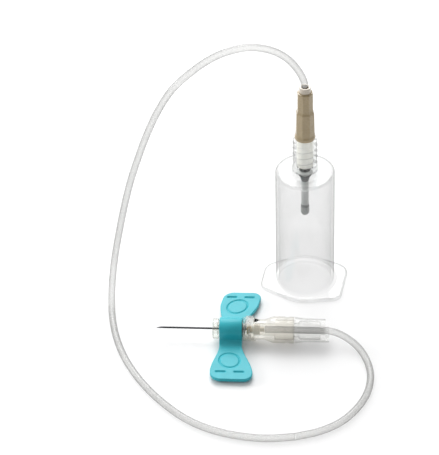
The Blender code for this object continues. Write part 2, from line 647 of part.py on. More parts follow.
def rear_barrel_profile():
    """Spigot in the front barrel, shoulder, taper, tail tube and an end wall round the tubing."""
    end = TAIL_END + LIP_LENGTH
    edge = 0.2 * MM
    outside = [
        (SPIGOT_START, SPIGOT_RADIUS - edge), (SPIGOT_START + edge, SPIGOT_RADIUS), (TAIL_START, SPIGOT_RADIUS),
        (TAIL_START, TAIL_SHOULDER_RADIUS), (TAIL_START + TAIL_TAPER_LENGTH / 3, TAIL_SHOULDER_RADIUS - edge),
        (TAIL_START + TAIL_TAPER_LENGTH, TAIL_RADIUS), (end, TAIL_RADIUS),
    ]
    wide = TAIL_START + TAIL_TAPER_LENGTH / 2
    inside = [
        (end, TAIL_END_BORE), (TAIL_END - TAIL_END_WALL, TAIL_END_BORE), (TAIL_END - TAIL_END_WALL, TAIL_BORE),
        (wide, TAIL_BORE), (wide - (TAIL_BORE - SPIGOT_BORE), SPIGOT_BORE), (SPIGOT_START, SPIGOT_BORE),
    ]
    return outside + inside


def make_rear_barrel(parent, finish):
    mesh = turned_mesh("rear_barrel", rear_barrel_profile(), 40, along="X")
    barrel = add_object("rear_barrel", mesh, finish, parent)
    wide = TAIL_RADIUS * 2
    notch = box_mesh("lip_notch", (TAIL_END, -wide, -LIP_TOP), (TAIL_END + wide, wide, wide))
    combine(barrel, hidden_tool("lip_notch", notch, parent), "DIFFERENCE")


def make_needle(parent, steel, cream):
    """The hub and the needle in it, which the spring throws back together."""
    flow = NEEDLE_RADIUS + CLEARANCE
    hub = [
        (HUB_START, HUB_RADIUS), (HUB_NECK_START, HUB_RADIUS), (HUB_NECK_START, HUB_NECK_RADIUS),
        (HUB_COLLAR_START, HUB_NECK_RADIUS), (HUB_COLLAR_START, HUB_RADIUS), (HUB_COLLAR_END, HUB_RADIUS),
        (HUB_COLLAR_END, HUB_NIPPLE_RADIUS), (HUB_END, HUB_NIPPLE_RADIUS), (HUB_END, flow), (HUB_START, flow),
    ]
    add_object("needle_hub", turned_mesh("needle_hub", hub, 28, along="X"), cream, parent)
    pipe = pipe_profile(-NEEDLE_EXPOSED, HUB_COLLAR_END, NEEDLE_RADIUS, NEEDLE_BORE)
    needle = add_object("needle", turned_mesh("needle", pipe, 12, along="X"), steel, parent)
    facing_up = Matrix(((1, 0, 0, 0), (0, 0, -1, 0), (0, 1, 0, 0), (0, 0, 0, 1)))
    sharpen(needle, Vector((-NEEDLE_EXPOSED, 0.0, 0.0)), facing_up, NEEDLE_RADIUS, parent)


def make_spring(finish):
    low = NOSE_WALL + CLEARANCE + SPRING_WIRE
    high = HUB_START - CLEARANCE - SPRING_WIRE
    steps = 12
    coil = []
    for number in range(SPRING_TURNS * steps + 1):
        turn = math.tau * number / steps
        along = low + (high - low) * number / (SPRING_TURNS * steps)
        coil.append(barrel_point(along, SPRING_RADIUS * math.cos(turn), SPRING_RADIUS * math.sin(turn)))
    tube_object("spring", coil, SPRING_WIRE, 1, finish)


def make_button(parent, finish):
    """A ribbed pad on two legs that straddle the hub's neck."""
    low = (BUTTON_START, -BUTTON_HALF_WIDTH, BUTTON_BASE)
    high = (BUTTON_END, BUTTON_HALF_WIDTH, BUTTON_BASE + BUTTON_THICKNESS)
    button = add_object("push_button", box_mesh("push_button", low, high), finish, parent)
    rib_gap = BUTTON_LENGTH / (BUTTON_RIBS + 1)
    top = BUTTON_BASE + BUTTON_THICKNESS
    for rib in range(BUTTON_RIBS):
        middle = BUTTON_START + rib_gap * (rib + 1)
        rib_low = (middle - rib_gap / 4, -BUTTON_HALF_WIDTH * 0.8, top - BUTTON_THICKNESS / 3)
        rib_high = (middle + rib_gap / 4, BUTTON_HALF_WIDTH * 0.8, top + BUTTON_RIB_HEIGHT)
        name = f"button_rib_{rib + 1}"
        combine(button, hidden_tool(name, box_mesh(name, rib_low, rib_high), parent), "UNION")
    for side in (-1, 1):
        near, far = sorted((side * LEG_INNER, side * (LEG_INNER + LEG_THICKNESS)))
        leg_low = (LEG_START, near, -LEG_BOTTOM)
        leg_high = (LEG_START + LEG_LENGTH, far, BUTTON_BASE + BUTTON_THICKNESS / 2)
        name = "button_leg_back" if side > 0 else "button_leg_front"
        combine(button, hidden_tool(name, box_mesh(name, leg_low, leg_high), parent), "UNION")


def sleeve_outline():
    """The wing sleeve's end view: round on top, straight sides, and a small fillet to a flat foot."""
    half = WING_SLEEVE_RADIUS + WING_FILLET
    top = arc((0.0, 0.0), WING_SLEEVE_RADIUS, 0, 180, 20)
    corner_up = -WING_TOP_DROP + WING_FILLET
    left = arc((-half, corner_up), WING_FILLET, 0, -90, 3)
    right = arc((half, corner_up), WING_FILLET, 270, 180, 3)
    return top + left + [(-half, -WING_SLEEVE_RADIUS), (half, -WING_SLEEVE_RADIUS)] + right


def make_wing_sleeve(parent, finish):
    mesh = prism_mesh("wing_sleeve", sleeve_outline(), SLEEVE_START, SLEEVE_END)
    mesh.transform(Matrix(((0, 0, 1, 0), (1, 0, 0, 0), (0, 1, 0, 0), (0, 0, 0, 1))))
    shade_round(mesh)
    sleeve = add_object("wing_sleeve", mesh, finish, parent)
    bore = NECK_RADIUS + CLEARANCE
    reach = SLEEVE_END + WING_SLEEVE_LENGTH
    rod = turned_mesh("sleeve_bore", [(-reach, 0), (-reach, bore), (reach, bore), (reach, 0)], 40, along="X")
    combine(sleeve, hidden_tool("sleeve_bore", rod, parent), "DIFFERENCE")


def wing_outline(tip_half, flare_to_tip, sweep):
    """A wing seen from above, as (along, out) points: a narrow root that flares to a round-cornered tip."""
    middle = (SLEEVE_START + SLEEVE_END) / 2
    flare_end = WING_REACH - flare_to_tip
    edge = [(WING_ROOT_HALF_WIDTH, WING_ROOT)]
    for step in range(9):
        share = step / 8
        out = WING_FLARE_START + (flare_end - WING_FLARE_START) * share
        swell = share * share * (3 - 2 * share)
        width = WING_ROOT_HALF_WIDTH + (tip_half - WING_ROOT_HALF_WIDTH) * swell
        edge.append((width, out))
    corner = (tip_half - WING_CORNER_RADIUS, WING_REACH - WING_CORNER_RADIUS)
    edge += arc(corner, WING_CORNER_RADIUS, 0, 90, 6)
    mirrored = [(-width, out) for width, out in reversed(edge)]
    lean = math.tan(sweep)
    return [(middle + width + lean * (out - WING_ROOT), out) for width, out in edge + mirrored]


def make_wing(name, side, shape, parent, finish):
    """One wing on an empty that stands on its fold line."""
    pivot = Vector((0.0, side * WING_PIVOT_SIDE, -WING_TOP_DROP))
    fold = add_empty(name + "_fold", pivot, parent)
    outline = [(along, side * out - pivot.y) for along, out in wing_outline(*shape)]
    wing = add_object(name, prism_mesh(name, outline, -WING_THICKNESS, 0.0), finish, fold)
    edge = wing.modifiers.new("soft edge", "BEVEL")
    edge.width = WING_EDGE_ROUND
    edge.segments = 2
    edge.limit_method = "ANGLE"
    edge.angle_limit = math.radians(60.0)


def main():
    clear_scene()
    clear = plain_material("clear_plastic", (0.90, 0.92, 0.92), 0.15, transmission=0.8)
    warm = plain_material("barrel_plastic", (0.88, 0.87, 0.80), 0.15, transmission=0.7)
    soft = plain_material("tubing_plastic", (0.88, 0.89, 0.89), 0.2, transmission=0.7)
    steel = plain_material("steel", (0.55, 0.56, 0.58), 0.3, metallic=1.0)
    rubber = plain_material("grey_rubber", (0.16, 0.18, 0.19), 0.5)
    tan = plain_material("tan_plastic", (0.48, 0.41, 0.28), 0.4)
    cream = plain_material("cream_plastic", (0.72, 0.66, 0.48), 0.4)
    teal = plain_material("teal_plastic", (0.10, 0.58, 0.66), 0.45)

    holder_axis = make_holder(clear)
    make_luer(holder_axis, clear, steel, rubber, tan)
    make_tubing(soft)

    nose = add_empty("barrel_axis", NOSE_AT + Vector((0.0, 0.0, AXIS_HEIGHT)), yaw=BARREL_YAW)
    make_front_barrel(nose, warm)
    make_rear_barrel(nose, clear)
    make_needle(nose, steel, cream)
    make_spring(steel)
    make_button(nose, clear)
    make_wing_sleeve(nose, teal)
    make_wing("wing_front", -1, (FRONT_TIP_HALF_WIDTH, FRONT_FLARE_TO_TIP, FRONT_SWEEP), nose, teal)
    make_wing("wing_back", 1, (BACK_TIP_HALF_WIDTH, BACK_FLARE_TO_TIP, BACK_SWEEP), nose, teal)


main()
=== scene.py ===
"""The dressed winged blood collection needle.

Finer meshes with plastic, rubber and steel materials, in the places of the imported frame's nodes."""
import bisect
import math

import bmesh
import bpy
from mathutils import Matrix, Vector


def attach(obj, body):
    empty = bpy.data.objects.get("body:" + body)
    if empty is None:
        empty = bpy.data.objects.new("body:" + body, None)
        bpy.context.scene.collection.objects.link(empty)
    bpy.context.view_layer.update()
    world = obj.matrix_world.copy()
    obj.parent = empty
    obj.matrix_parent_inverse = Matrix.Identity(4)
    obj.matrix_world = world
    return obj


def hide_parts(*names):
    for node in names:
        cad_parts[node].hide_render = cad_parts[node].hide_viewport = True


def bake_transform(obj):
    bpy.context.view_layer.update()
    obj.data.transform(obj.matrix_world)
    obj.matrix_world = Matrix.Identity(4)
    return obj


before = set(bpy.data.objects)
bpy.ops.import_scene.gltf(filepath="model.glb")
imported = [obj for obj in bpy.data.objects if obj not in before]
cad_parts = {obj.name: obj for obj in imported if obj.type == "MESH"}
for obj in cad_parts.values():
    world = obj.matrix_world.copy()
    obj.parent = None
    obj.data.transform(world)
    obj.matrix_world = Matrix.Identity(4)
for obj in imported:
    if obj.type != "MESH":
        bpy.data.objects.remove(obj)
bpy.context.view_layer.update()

MM = 0.001
GAP = 0.3 * MM
TINY = 1e-9

# Placing, as in the part's source
HOLDER_AT = Vector((17.15, 19.5, 0.0)) * MM
NOSE_AT = Vector((-13.49, -10.38, 4.5)) * MM
BARREL_YAW = math.radians(-1.5)
BARREL = Matrix.Translation(NOSE_AT) @ Matrix.Rotation(BARREL_YAW, 4, "Z")
HOLDER = Matrix.Translation(HOLDER_AT)

# Camera: the picture's sizes are in its pixels
PICTURE_MIDDLE = 219.5
PICTURE_HEIGHT = 455.0
HOLDER_COLUMN = 305.0
FOCAL_LENGTH = 1600.0
SENSOR_WIDTH = 36.0
CAMERA_PITCH = math.radians(39.0)
CAMERA_FROM_HOLDER = Vector((0.0, -422.72, 365.87)) * MM

# Studio: stops are (position, colour) pairs
SKY_TOWARD = (-0.28, 0.38, 0.46)
SKY_STOPS = [(0.0, (0.30, 0.30, 0.305)), (0.62, (1.0, 1.0, 1.0))]
SKY_STRENGTH = 0.85
FLOOR_RADIUS = 5.0
FLOOR_DROP = 0.03 * MM
FLOOR_NOISE = 40.0


def new_object(name, data):
    made = bpy.data.objects.new(name, data)
    bpy.context.scene.collection.objects.link(made)
    return made


def make_camera():
    """The photo's view: down at the set, with the holder to the right of the picture's middle."""
    turn = math.atan((HOLDER_COLUMN - PICTURE_MIDDLE) / FOCAL_LENGTH)
    up = Vector((0.0, math.sin(CAMERA_PITCH), math.cos(CAMERA_PITCH)))
    ahead = Vector((0.0, math.cos(CAMERA_PITCH), -math.sin(CAMERA_PITCH)))
    right = Vector((1.0, 0.0, 0.0))
    looking = ahead * math.cos(turn) - right * math.sin(turn)
    side = right * math.cos(turn) + ahead * math.sin(turn)
    data = bpy.data.cameras.new("camera")
    data.sensor_width = SENSOR_WIDTH
    data.lens = SENSOR_WIDTH * FOCAL_LENGTH / PICTURE_HEIGHT
    camera = new_object("camera", data)
    basis = Matrix((side, up, -looking)).transposed().to_4x4()
    camera.matrix_world = Matrix.Translation(HOLDER_AT + CAMERA_FROM_HOLDER) @ basis
    bpy.context.scene.camera = camera


def area_light(name, place, target, size, power):
    data = bpy.data.lights.new(name, "AREA")
    data.shape = "DISK"
    data.size = size
    data.energy = power
    light = new_object(name, data)
    light.location = place
    light.rotation_euler = (Vector(target) - Vector(place)).to_track_quat("-Z", "Y").to_euler()


def make_studio():
    scene = bpy.context.scene
    scene.view_settings.view_transform = "Standard"
    world = bpy.data.worlds.new("studio")
    scene.world = world
    world.use_nodes = True
    place = add_node(world, "ShaderNodeTexCoord", {})
    toward = add_node(world, "ShaderNodeVectorMath", {0: place.outputs["Generated"], 1: SKY_TOWARD},
                      operation="DOT_PRODUCT")
    sky = color_ramp(world, toward.outputs["Value"], SKY_STOPS)
    feed(world, world.node_tree.nodes["Background"], {"Color": sky, "Strength": SKY_STRENGTH})
    area_light("key", place=(-0.15, 0.9, 0.9), target=(0.0, 0.0, 0.02), size=1.0, power=14.5)
    area_light("side", place=(-0.9, 0.25, 0.35), target=(0.0, 0.0, 0.04), size=0.22, power=2.5)
    made = bmesh.new()
    bmesh.ops.create_circle(made, cap_ends=True, segments=64, radius=FLOOR_RADIUS)
    floor = new_object("floor", finished("floor", made))
    floor.location.z = -FLOOR_DROP
    material, shader = new_material("studio_floor", grey(0.93), roughness=0.9)
    tint(material, shader, add_noise(material, FLOOR_NOISE), grey(0.925), grey(0.935))
    floor.data.materials.append(material)


# Materials: the noises' scales are per metre
MOTTLE = 260.0
MOTTLE_FROM, MOTTLE_TO = 0.3, 0.7
GRAIN = 2600.0
GRAIN_DEPTH = 0.012 * MM
FILM_MOTTLE = 220.0
FILM_GRAIN = 1200.0
DRAWN_LINES = 2500.0
PLAIN_STRETCH = (1.0, 1.0, 1.0)


def grey(level):
    return (level,) * 3


def opaque(color):
    return (*color, 1.0)


def feed(holder, node, inputs):
    """Inputs of a material's or world's node take other nodes' outputs or plain values."""
    for name, value in inputs.items():
        if isinstance(value, bpy.types.NodeSocket):
            holder.node_tree.links.new(value, node.inputs[name])
        else:
            node.inputs[name].default_value = value


def add_node(holder, kind, inputs, **settings):
    """A node of a material or world, with its settings and what its inputs take."""
    made = holder.node_tree.nodes.new(kind)
    for name, value in settings.items():
        setattr(made, name, value)
    feed(holder, made, inputs)
    return made


def new_material(name, color, roughness, metallic=0.0):
    material = bpy.data.materials.new(name)
    material.use_nodes = True
    shader = material.node_tree.nodes["Principled BSDF"]
    feed(material, shader, {"Base Color": opaque(color), "Roughness": roughness, "Metallic": metallic})
    return material, shader


def object_place(material):
    return add_node(material, "ShaderNodeTexCoord", {}).outputs["Object"]


def add_noise(material, scale, detail=3.0, stretch=PLAIN_STRETCH):
    """Noise in object space, with its scale per metre."""
    place = add_node(material, "ShaderNodeMapping", {"Vector": object_place(material), "Scale": stretch})
    inputs = {"Vector": place.outputs["Vector"], "Scale": scale, "Detail": detail}
    return add_node(material, "ShaderNodeTexNoise", inputs).outputs["Fac"]


def color_ramp(holder, factor, stops):
    """A colour that follows a factor. Stops are (position, colour) pairs, lowest first."""
    ramp = add_node(holder, "ShaderNodeValToRGB", {0: factor})
    elements = ramp.color_ramp.elements
    while len(elements) < len(stops):
        elements.new(0.5)
    for element, (position, color) in zip(elements, stops):
        element.position = position
        element.color = opaque(color)
    return ramp.outputs[0]


def mapped(material, value, before=(0.0, 1.0), after=(0.0, 1.0)):
    """A value moved from one range to another."""
    inputs = {"Value": value, "From Min": before[0], "From Max": before[1],
              "To Min": after[0], "To Max": after[1]}
    return add_node(material, "ShaderNodeMapRange", inputs).outputs[0]


def mix_colors(material, factor, first, second, blend="MIX"):
    inputs = {"Factor": factor, "A": first, "B": second}
    return add_node(material, "ShaderNodeMix", inputs, data_type="RGBA", blend_type=blend).outputs["Result"]


def product(material, first, second):
    return add_node(material, "ShaderNodeMath", {0: first, 1: second}, operation="MULTIPLY").outputs[0]


def mix_shaders(material, share, first, second):
    """Two surfaces mixed by the share of the second."""
    inputs = {0: share, 1: first.outputs[0], 2: second.outputs[0]}
    return add_node(material, "ShaderNodeMixShader", inputs)


def tint(material, shader, factor, low, high):
    """The shader's colour follows a factor between two colours."""
    color = color_ramp(material, factor, [(MOTTLE_FROM, low), (MOTTLE_TO, high)])
    feed(material, shader, {"Base Color": color})
    return color


def vary_roughness(material, shader, factor, low, high):
    feed(material, shader, {"Roughness": mapped(material, factor, after=(low, high))})


def along_share(material, axis, zero, one):
    """0 to 1 from one place to another along an axis of object space."""
    split = add_node(material, "ShaderNodeSeparateXYZ", {0: object_place(material)})
    return mapped(material, split.outputs[axis], before=(zero, one))


def distance_share(material, upright, near, far):
    """0 to 1 over a band of distances from an upright axis, in object space."""
    inputs = {"Vector": object_place(material), "Location": (-upright.x, -upright.y, 0.0),
              "Scale": (1.0, 1.0, 0.0)}
    flat = add_node(material, "ShaderNodeMapping", inputs)
    length = add_node(material, "ShaderNodeVectorMath", {0: flat.outputs[0]}, operation="LENGTH")
    return mapped(material, length.outputs["Value"], before=(near, far))


def place_bands(material, bands, axis="Z"):
    """A colour by the place along an axis of object space. Bands are (place, colour) pairs, lowest first."""
    low, high = bands[0][0], bands[-1][0]
    stops = [((place - low) / (high - low), color) for place, color in bands]
    return color_ramp(material, along_share(material, axis, low, high), stops)


def grey_bands(levels, foot=0.0):
    """Bands of grey from (height in mm, level) pairs, with the heights over a foot."""
    return [(foot + height * MM, grey(level)) for height, level in levels]


def moulded(name, low, high, roughness, gloss=0.5, bands=None, axis="Z", inside=None, coat=None):
    """Opaque moulded plastic or rubber: slight mottling, fine grain and uneven gloss.
    Bands multiply its colour along an axis. Inside, (upright axis, near, far, bands), gives it other
    bands nearer to that axis. Coat is the (weight, roughness) of a clear gloss over it."""
    material, shader = new_material(name, high, roughness)
    feed(material, shader, {"Specular IOR Level": gloss})
    color = tint(material, shader, add_noise(material, MOTTLE), low, high)
    if bands:
        scale = place_bands(material, bands, axis)
        if inside:
            upright, near, far, inner_bands = inside
            share = distance_share(material, upright, near, far)
            scale = mix_colors(material, share, place_bands(material, inner_bands), scale)
        feed(material, shader, {"Base Color": mix_colors(material, 1.0, color, scale, "MULTIPLY")})
    fine = add_noise(material, GRAIN, detail=5.0)
    vary_roughness(material, shader, fine, roughness - 0.06, roughness + 0.08)
    inputs = {"Height": fine, "Distance": GRAIN_DEPTH}
    feed(material, shader, {"Normal": add_node(material, "ShaderNodeBump", inputs).outputs[0]})
    if coat:
        feed(material, shader, {"Coat Weight": coat[0], "Coat Roughness": coat[1]})
    return material


def film_plastic(name, middle, edge, gloss, haze, haze_color, roughness, power, shade,
                 upright=None, zones=(), skin=None, foot=None):
    """Thin clear plastic. It shows what is behind it unbent, mirrors the studio more towards its
    edges, is a little milky and casts a pale shadow. An upright piece gives its axis, and its edges
    darken only outside the skin's two distances from it and above the foot's two heights. A zone,
    (near, far, bands, side), gives bands that take over between two distances from the axis and,
    where it has a side, between two Y places."""
    material, shader = new_material(name, grey(0.96), roughness, metallic=1.0)
    tint(material, shader, add_noise(material, FILM_MOTTLE), grey(0.93), grey(0.97))
    fine = add_noise(material, FILM_GRAIN, detail=4.0)
    vary_roughness(material, shader, fine, max(roughness - 0.03, 0.0), roughness + 0.04)
    facing = add_node(material, "ShaderNodeLayerWeight", {}).outputs["Facing"]
    edge_share = add_node(material, "ShaderNodeMath", {0: facing, 1: power}, operation="POWER").outputs[0]
    if upright:
        edge_share = product(material, edge_share, distance_share(material, upright, *skin))
        edge_share = product(material, edge_share, along_share(material, "Z", *foot))
    color = opaque(middle)
    for near, far, bands, side in zones:
        taken = distance_share(material, upright, near, far)
        if side:
            taken = product(material, taken, along_share(material, "Y", *side))
        color = mix_colors(material, taken, color, place_bands(material, bands))
    color = mix_colors(material, edge_share, color, opaque(edge))
    clear = add_node(material, "ShaderNodeBsdfTransparent", {"Color": color})
    inputs = {"Base Color": opaque(haze_color), "Roughness": 0.5}
    milky = add_node(material, "ShaderNodeBsdfPrincipled", inputs)
    lamps = add_node(material, "ShaderNodeBsdfTransparent", {"Color": opaque(grey(shade))})
    lamp_ray = add_node(material, "ShaderNodeLightPath", {}).outputs["Is Shadow Ray"]
    body = mix_shaders(material, mapped(material, edge_share, after=gloss), clear, shader)
    body = mix_shaders(material, haze, body, milky)
    body = mix_shaders(material, lamp_ray, body, lamps)
    feed(material, material.node_tree.nodes["Material Output"], {"Surface": body.outputs[0]})
    return material


def metal(name, low, high, roughness, stretch=PLAIN_STRETCH):
    material, shader = new_material(name, high, roughness, metallic=1.0)
    lines = add_noise(material, DRAWN_LINES, detail=2.0, stretch=stretch)
    tint(material, shader, lines, low, high)
    vary_roughness(material, shader, lines, roughness - 0.07, roughness + 0.1)
    return material


# Meshes
LEAST_RADIUS = 1e-6
JOIN_DISTANCE = 1e-7
ROUNDED_SHARE = 0.45
FLAT_CORNER = math.radians(14.0)


def add_piece(name, mesh, material, body, nodes, place=None, smooth=40.0):
    """A visible piece. Smooth is the angle in degrees from which an edge is sharp, or 0 for flat faces."""
    if smooth:
        mesh.shade_smooth()
        mesh.set_sharp_from_angle(angle=math.radians(smooth))
    mesh.materials.append(material)
    made = new_object(name, mesh)
    if place is not None:
        mesh.transform(place)
    if body:
        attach(made, body)
    if nodes:
        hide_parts(*nodes)
    return made


def pairs(rows):
    return zip(rows, rows[1:])


def add_strip(made, first, second):
    """Faces between two rings of as many points."""
    for here in range(len(first)):
        after = (here + 1) % len(first)
        made.faces.new((first[here], first[after], second[after], second[here]))


def finished(name, made):
    mesh = bpy.data.meshes.new(name)
    made.to_mesh(mesh)
    made.free()
    return mesh


def loft(name, rings, closed=False, open_end=None):
    """A skin over rings of points. A closed one joins its ends. Another has them capped, apart from
    an open end, 0 or -1."""
    made = bmesh.new()
    rows = [[made.verts.new(point) for point in ring] for ring in rings]
    for first, second in pairs(rows):
        add_strip(made, first, second)
    if closed:
        add_strip(made, rows[-1], rows[0])
    else:
        for end, turn in ((0, -1), (-1, 1)):
            if end != open_end:
                made.faces.new(rows[end][::turn])
    bmesh.ops.remove_doubles(made, verts=made.verts, dist=JOIN_DISTANCE)
    bmesh.ops.recalc_face_normals(made, faces=made.faces)
    return finished(name, made)


def turned(name, profile, steps=96, along="Z"):
    """A closed profile of (height, section) pairs swept once round. A section is a radius, or a
    function that gives it at an angle."""
    rings = []
    for height, section in profile:
        ring = []
        for step in range(steps):
            angle = math.tau * step / steps
            reach = max(section(angle) if callable(section) else section, LEAST_RADIUS)
            side, up = reach * math.cos(angle), reach * math.sin(angle)
            ring.append((height, side, up) if along == "X" else (side, up, height))
        rings.append(ring)
    return loft(name, rings, closed=True)


def softened(profile, radius, steps=3):
    """The same closed profile with its corners rounded."""
    out = []
    for number, (height, section) in enumerate(profile):
        before, after = profile[number - 1], profile[(number + 1) % len(profile)]
        here = Vector((height, section))
        back, ahead = Vector(before) - here, Vector(after) - here
        room = min(radius, back.length * ROUNDED_SHARE, ahead.length * ROUNDED_SHARE)
        if room < TINY or abs(back.angle(ahead) - math.pi) < FLAT_CORNER:
            out.append((height, section))
            continue
        start, end = here + back.normalized() * room, here + ahead.normalized() * room
        for step in range(steps + 1):
            share = step / steps
            point = start * (1 - share) ** 2 + here * 2 * share * (1 - share) + end * share * share
            out.append((point.x, max(point.y, 0.0)))
    return out


def arc(centre, radius, start, end, steps):
    """Points on an arc between two angles in degrees."""
    points = []
    for step in range(steps + 1):
        angle = math.radians(start + (end - start) * step / steps)
        points.append((centre[0] + radius * math.cos(angle), centre[1] + radius * math.sin(angle)))
    return points


def profile_arc(centre, radius, start, end, steps):
    """An arc as (height, radius) pairs, round a centre given as (radius, height)."""
    return [(height, reach) for reach, height in arc(centre, radius, start, end, steps)]


def over(base, *offsets):
    """A part of a profile, from (height over a base, radius) pairs in mm."""
    return [(base + height * MM, radius * MM) for height, radius in offsets]


def box(name, low, high):
    corners = [(low[0], low[1]), (high[0], low[1]), (high[0], high[1]), (low[0], high[1])]
    return loft(name, [[(x, y, z) for x, y in corners] for z in (low[2], high[2])])


def modified(piece):
    """The mesh of a piece with its modifiers applied. The piece itself goes."""
    bpy.context.view_layer.update()
    evaluated = piece.evaluated_get(bpy.context.evaluated_depsgraph_get())
    mesh, old = bpy.data.meshes.new_from_object(evaluated), piece.data
    bpy.data.objects.remove(piece, do_unlink=True)
    bpy.data.meshes.remove(old)
    return mesh


def combined(mesh, tool_mesh, operation="DIFFERENCE"):
    """A mesh less another one, or joined with it."""
    piece, tool = new_object("worked", mesh), new_object("tool", tool_mesh)
    cut = piece.modifiers.new("cut", "BOOLEAN")
    cut.operation = operation
    cut.solver = "EXACT"
    cut.object = tool
    made = modified(piece)
    bpy.data.objects.remove(tool, do_unlink=True)
    return made


# Tubing: points in mm, as in the part's source
ARCH_ROUTE = [
    (16.65, 19.45, 83.6), (15.15, 19.45, 86.9), (11.95, 19.35, 91.3), (7.95, 19.25, 94.2),
    (3.35, 19.15, 95.7), (-1.35, 18.95, 96.0), (-6.65, 18.65, 94.9), (-12.25, 18.35, 92.4),
    (-18.85, 17.95, 87.5), (-24.85, 17.45, 81.6), (-30.05, 16.85, 73.3), (-34.15, 16.25, 64.3),
    (-37.45, 15.65, 55.5), (-40.25, 15.05, 47.2), (-42.75, 14.55, 38.1), (-45.35, 13.85, 27.0),
    (-47.15, 13.25, 18.6), (-48.45, 11.85, 11.2), (-49.05, 8.85, 5.6), (-48.95, 4.25, 2.4),
]
TABLE_ROUTE = [
    (-48.25, -1.65, 1.3), (-45.85, -11.95, 1.2), (-41.85, -22.35, 1.2), (-35.65, -32.95, 1.2),
    (-28.45, -41.85, 1.2), (-20.25, -49.25, 1.2), (-11.85, -53.85, 1.2), (-3.25, -56.35, 1.2),
    (5.45, -57.25, 1.2), (14.05, -56.45, 1.2),
]
LOOP_ROUTE = [
    TABLE_ROUTE[-1], (21.55, -54.15, 1.2), (28.25, -50.15, 1.2), (33.35, -44.35, 1.2),
    (36.95, -37.35, 1.2), (38.35, -29.45, 1.2), (37.35, -22.15, 1.3), (34.65, -16.65, 2.0),
    (30.85, -13.35, 3.2), (27.35, -11.95, 4.2),
]
CURVE_PARTS = 24
TUBING_RADIUS = 1.15 * MM
TUBING_SIDES = 24
UPWARD = Vector((0.0, 0.0, 1.0))
LINE_STEP = 1.1 * MM
LOOP_STEP = 0.9 * MM
HUB_END = 17.1 * MM
TAIL_END = 37.4 * MM
TAIL_WALL = 1.6 * MM
ADAPTER_TOP = 80.9 * MM


def lengths_along(points):
    """The distance of each point from the first, along the line."""
    lengths = [0.0]
    for a, b in pairs(points):
        lengths.append(lengths[-1] + (b - a).length)
    return lengths


def smooth_route(points, step):
    """Points about a step apart on one smooth centripetal curve through given points."""
    ends = [points[0] * 2 - points[1]] + points + [points[-1] * 2 - points[-2]]
    dense = []
    for corners in zip(ends, ends[1:], ends[2:], ends[3:]):
        knots = [0.0]
        for a, b in pairs(corners):
            knots.append(knots[-1] + math.sqrt((b - a).length))
        for part in range(CURVE_PARTS):
            at = knots[1] + (knots[2] - knots[1]) * part / CURVE_PARTS
            level = list(corners)
            for depth in (1, 2, 3):
                grown = []
                for index in range(len(level) - 1):
                    first = index if depth < 3 else 1
                    last = index + depth if depth < 3 else 2
                    share = (at - knots[first]) / (knots[last] - knots[first])
                    grown.append(level[index].lerp(level[index + 1], share))
                level = grown
            dense.append(level[0])
    dense.append(points[-1])
    lengths = lengths_along(dense)
    count = max(2, round(lengths[-1] / step))
    even, place = [], 0
    for number in range(count + 1):
        along = lengths[-1] * number / count
        while place < len(dense) - 2 and lengths[place + 1] < along:
            place += 1
        share = (along - lengths[place]) / (lengths[place + 1] - lengths[place])
        even.append(dense[place].lerp(dense[place + 1], min(max(share, 0.0), 1.0)))
    return even


def tube_rings(points, radius, sides, first_side=None):
    """Rings of points round a line, carried along it without twist."""
    rings = []
    side = first_side
    for number, point in enumerate(points):
        ahead = (points[min(number + 1, len(points) - 1)] - points[max(number - 1, 0)]).normalized()
        if side is None:
            side = ahead.orthogonal()
        side = (side - ahead * side.dot(ahead)).normalized()
        other = ahead.cross(side)
        ring = []
        for step in range(sides):
            angle = math.tau * step / sides
            ring.append(point + (side * math.cos(angle) + other * math.sin(angle)) * radius)
        rings.append(ring)
    return rings


def barrel_point(along, side=0.0, up=0.0):
    return BARREL @ Vector((along, side, up))


def make_tubing(material):
    start = HOLDER_AT + Vector((0.0, 0.0, ADAPTER_TOP + GAP))
    rest = [start] + [Vector(point) * MM for point in ARCH_ROUTE + TABLE_ROUTE]
    loop = [Vector(point) * MM for point in LOOP_ROUTE]
    for along in (TAIL_END + 0.65 * MM, TAIL_END - TAIL_WALL, (TAIL_END + HUB_END) / 2, HUB_END + GAP):
        loop.append(barrel_point(along))
    made = {}
    lengths = [("tubing", rest, LINE_STEP, -1), ("tubing_loop", loop, LOOP_STEP, 0)]
    for node, route, step, open_end in lengths:
        points = smooth_route(route, step)
        name = node + "_line"
        mesh = loft(name, tube_rings(points, TUBING_RADIUS, TUBING_SIDES, UPWARD), open_end=open_end)
        whole = add_piece(name, mesh, material, None, [node], smooth=60.0)
        made[name] = whole
    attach(made["tubing_line"], "set")
    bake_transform(made["tubing_loop_line"])


# Holder: a flange corner is (angle in degrees, distance out and radius in mm)
HOLDER_HEIGHT = 47.7 * MM
MOUTH_RADIUS = 10.05 * MM
TOP_RADIUS = 9.82 * MM
WALL = 1.0 * MM
SHOULDER_THICKNESS = 1.2 * MM
SHOULDER_FILLET = 0.6 * MM
INNER_FILLET = 0.7 * MM
FLANGE = 1.3 * MM
FLANGE_RADIUS = 12.3 * MM
FLANGE_CORNERS = [(18.0, 10.3, 4.9), (-41.0, 12.3, 3.3), (160.0, 9.4, 5.5), (194.0, 11.6, 4.0)]
FLANGE_STEPS = 720
FLANGE_EDGE = 0.38 * MM
RIM_IN = 1.2 * MM
RIM_UP = 0.42 * MM
BOSS_RADIUS = 5.25 * MM
BOSS_TOP = HOLDER_HEIGHT + 0.7 * MM
HOLDER_HOLE = 3.9 * MM
SOCKET_WALL = 0.6 * MM
SOCKET_BOTTOM = HOLDER_HEIGHT - 3.4 * MM


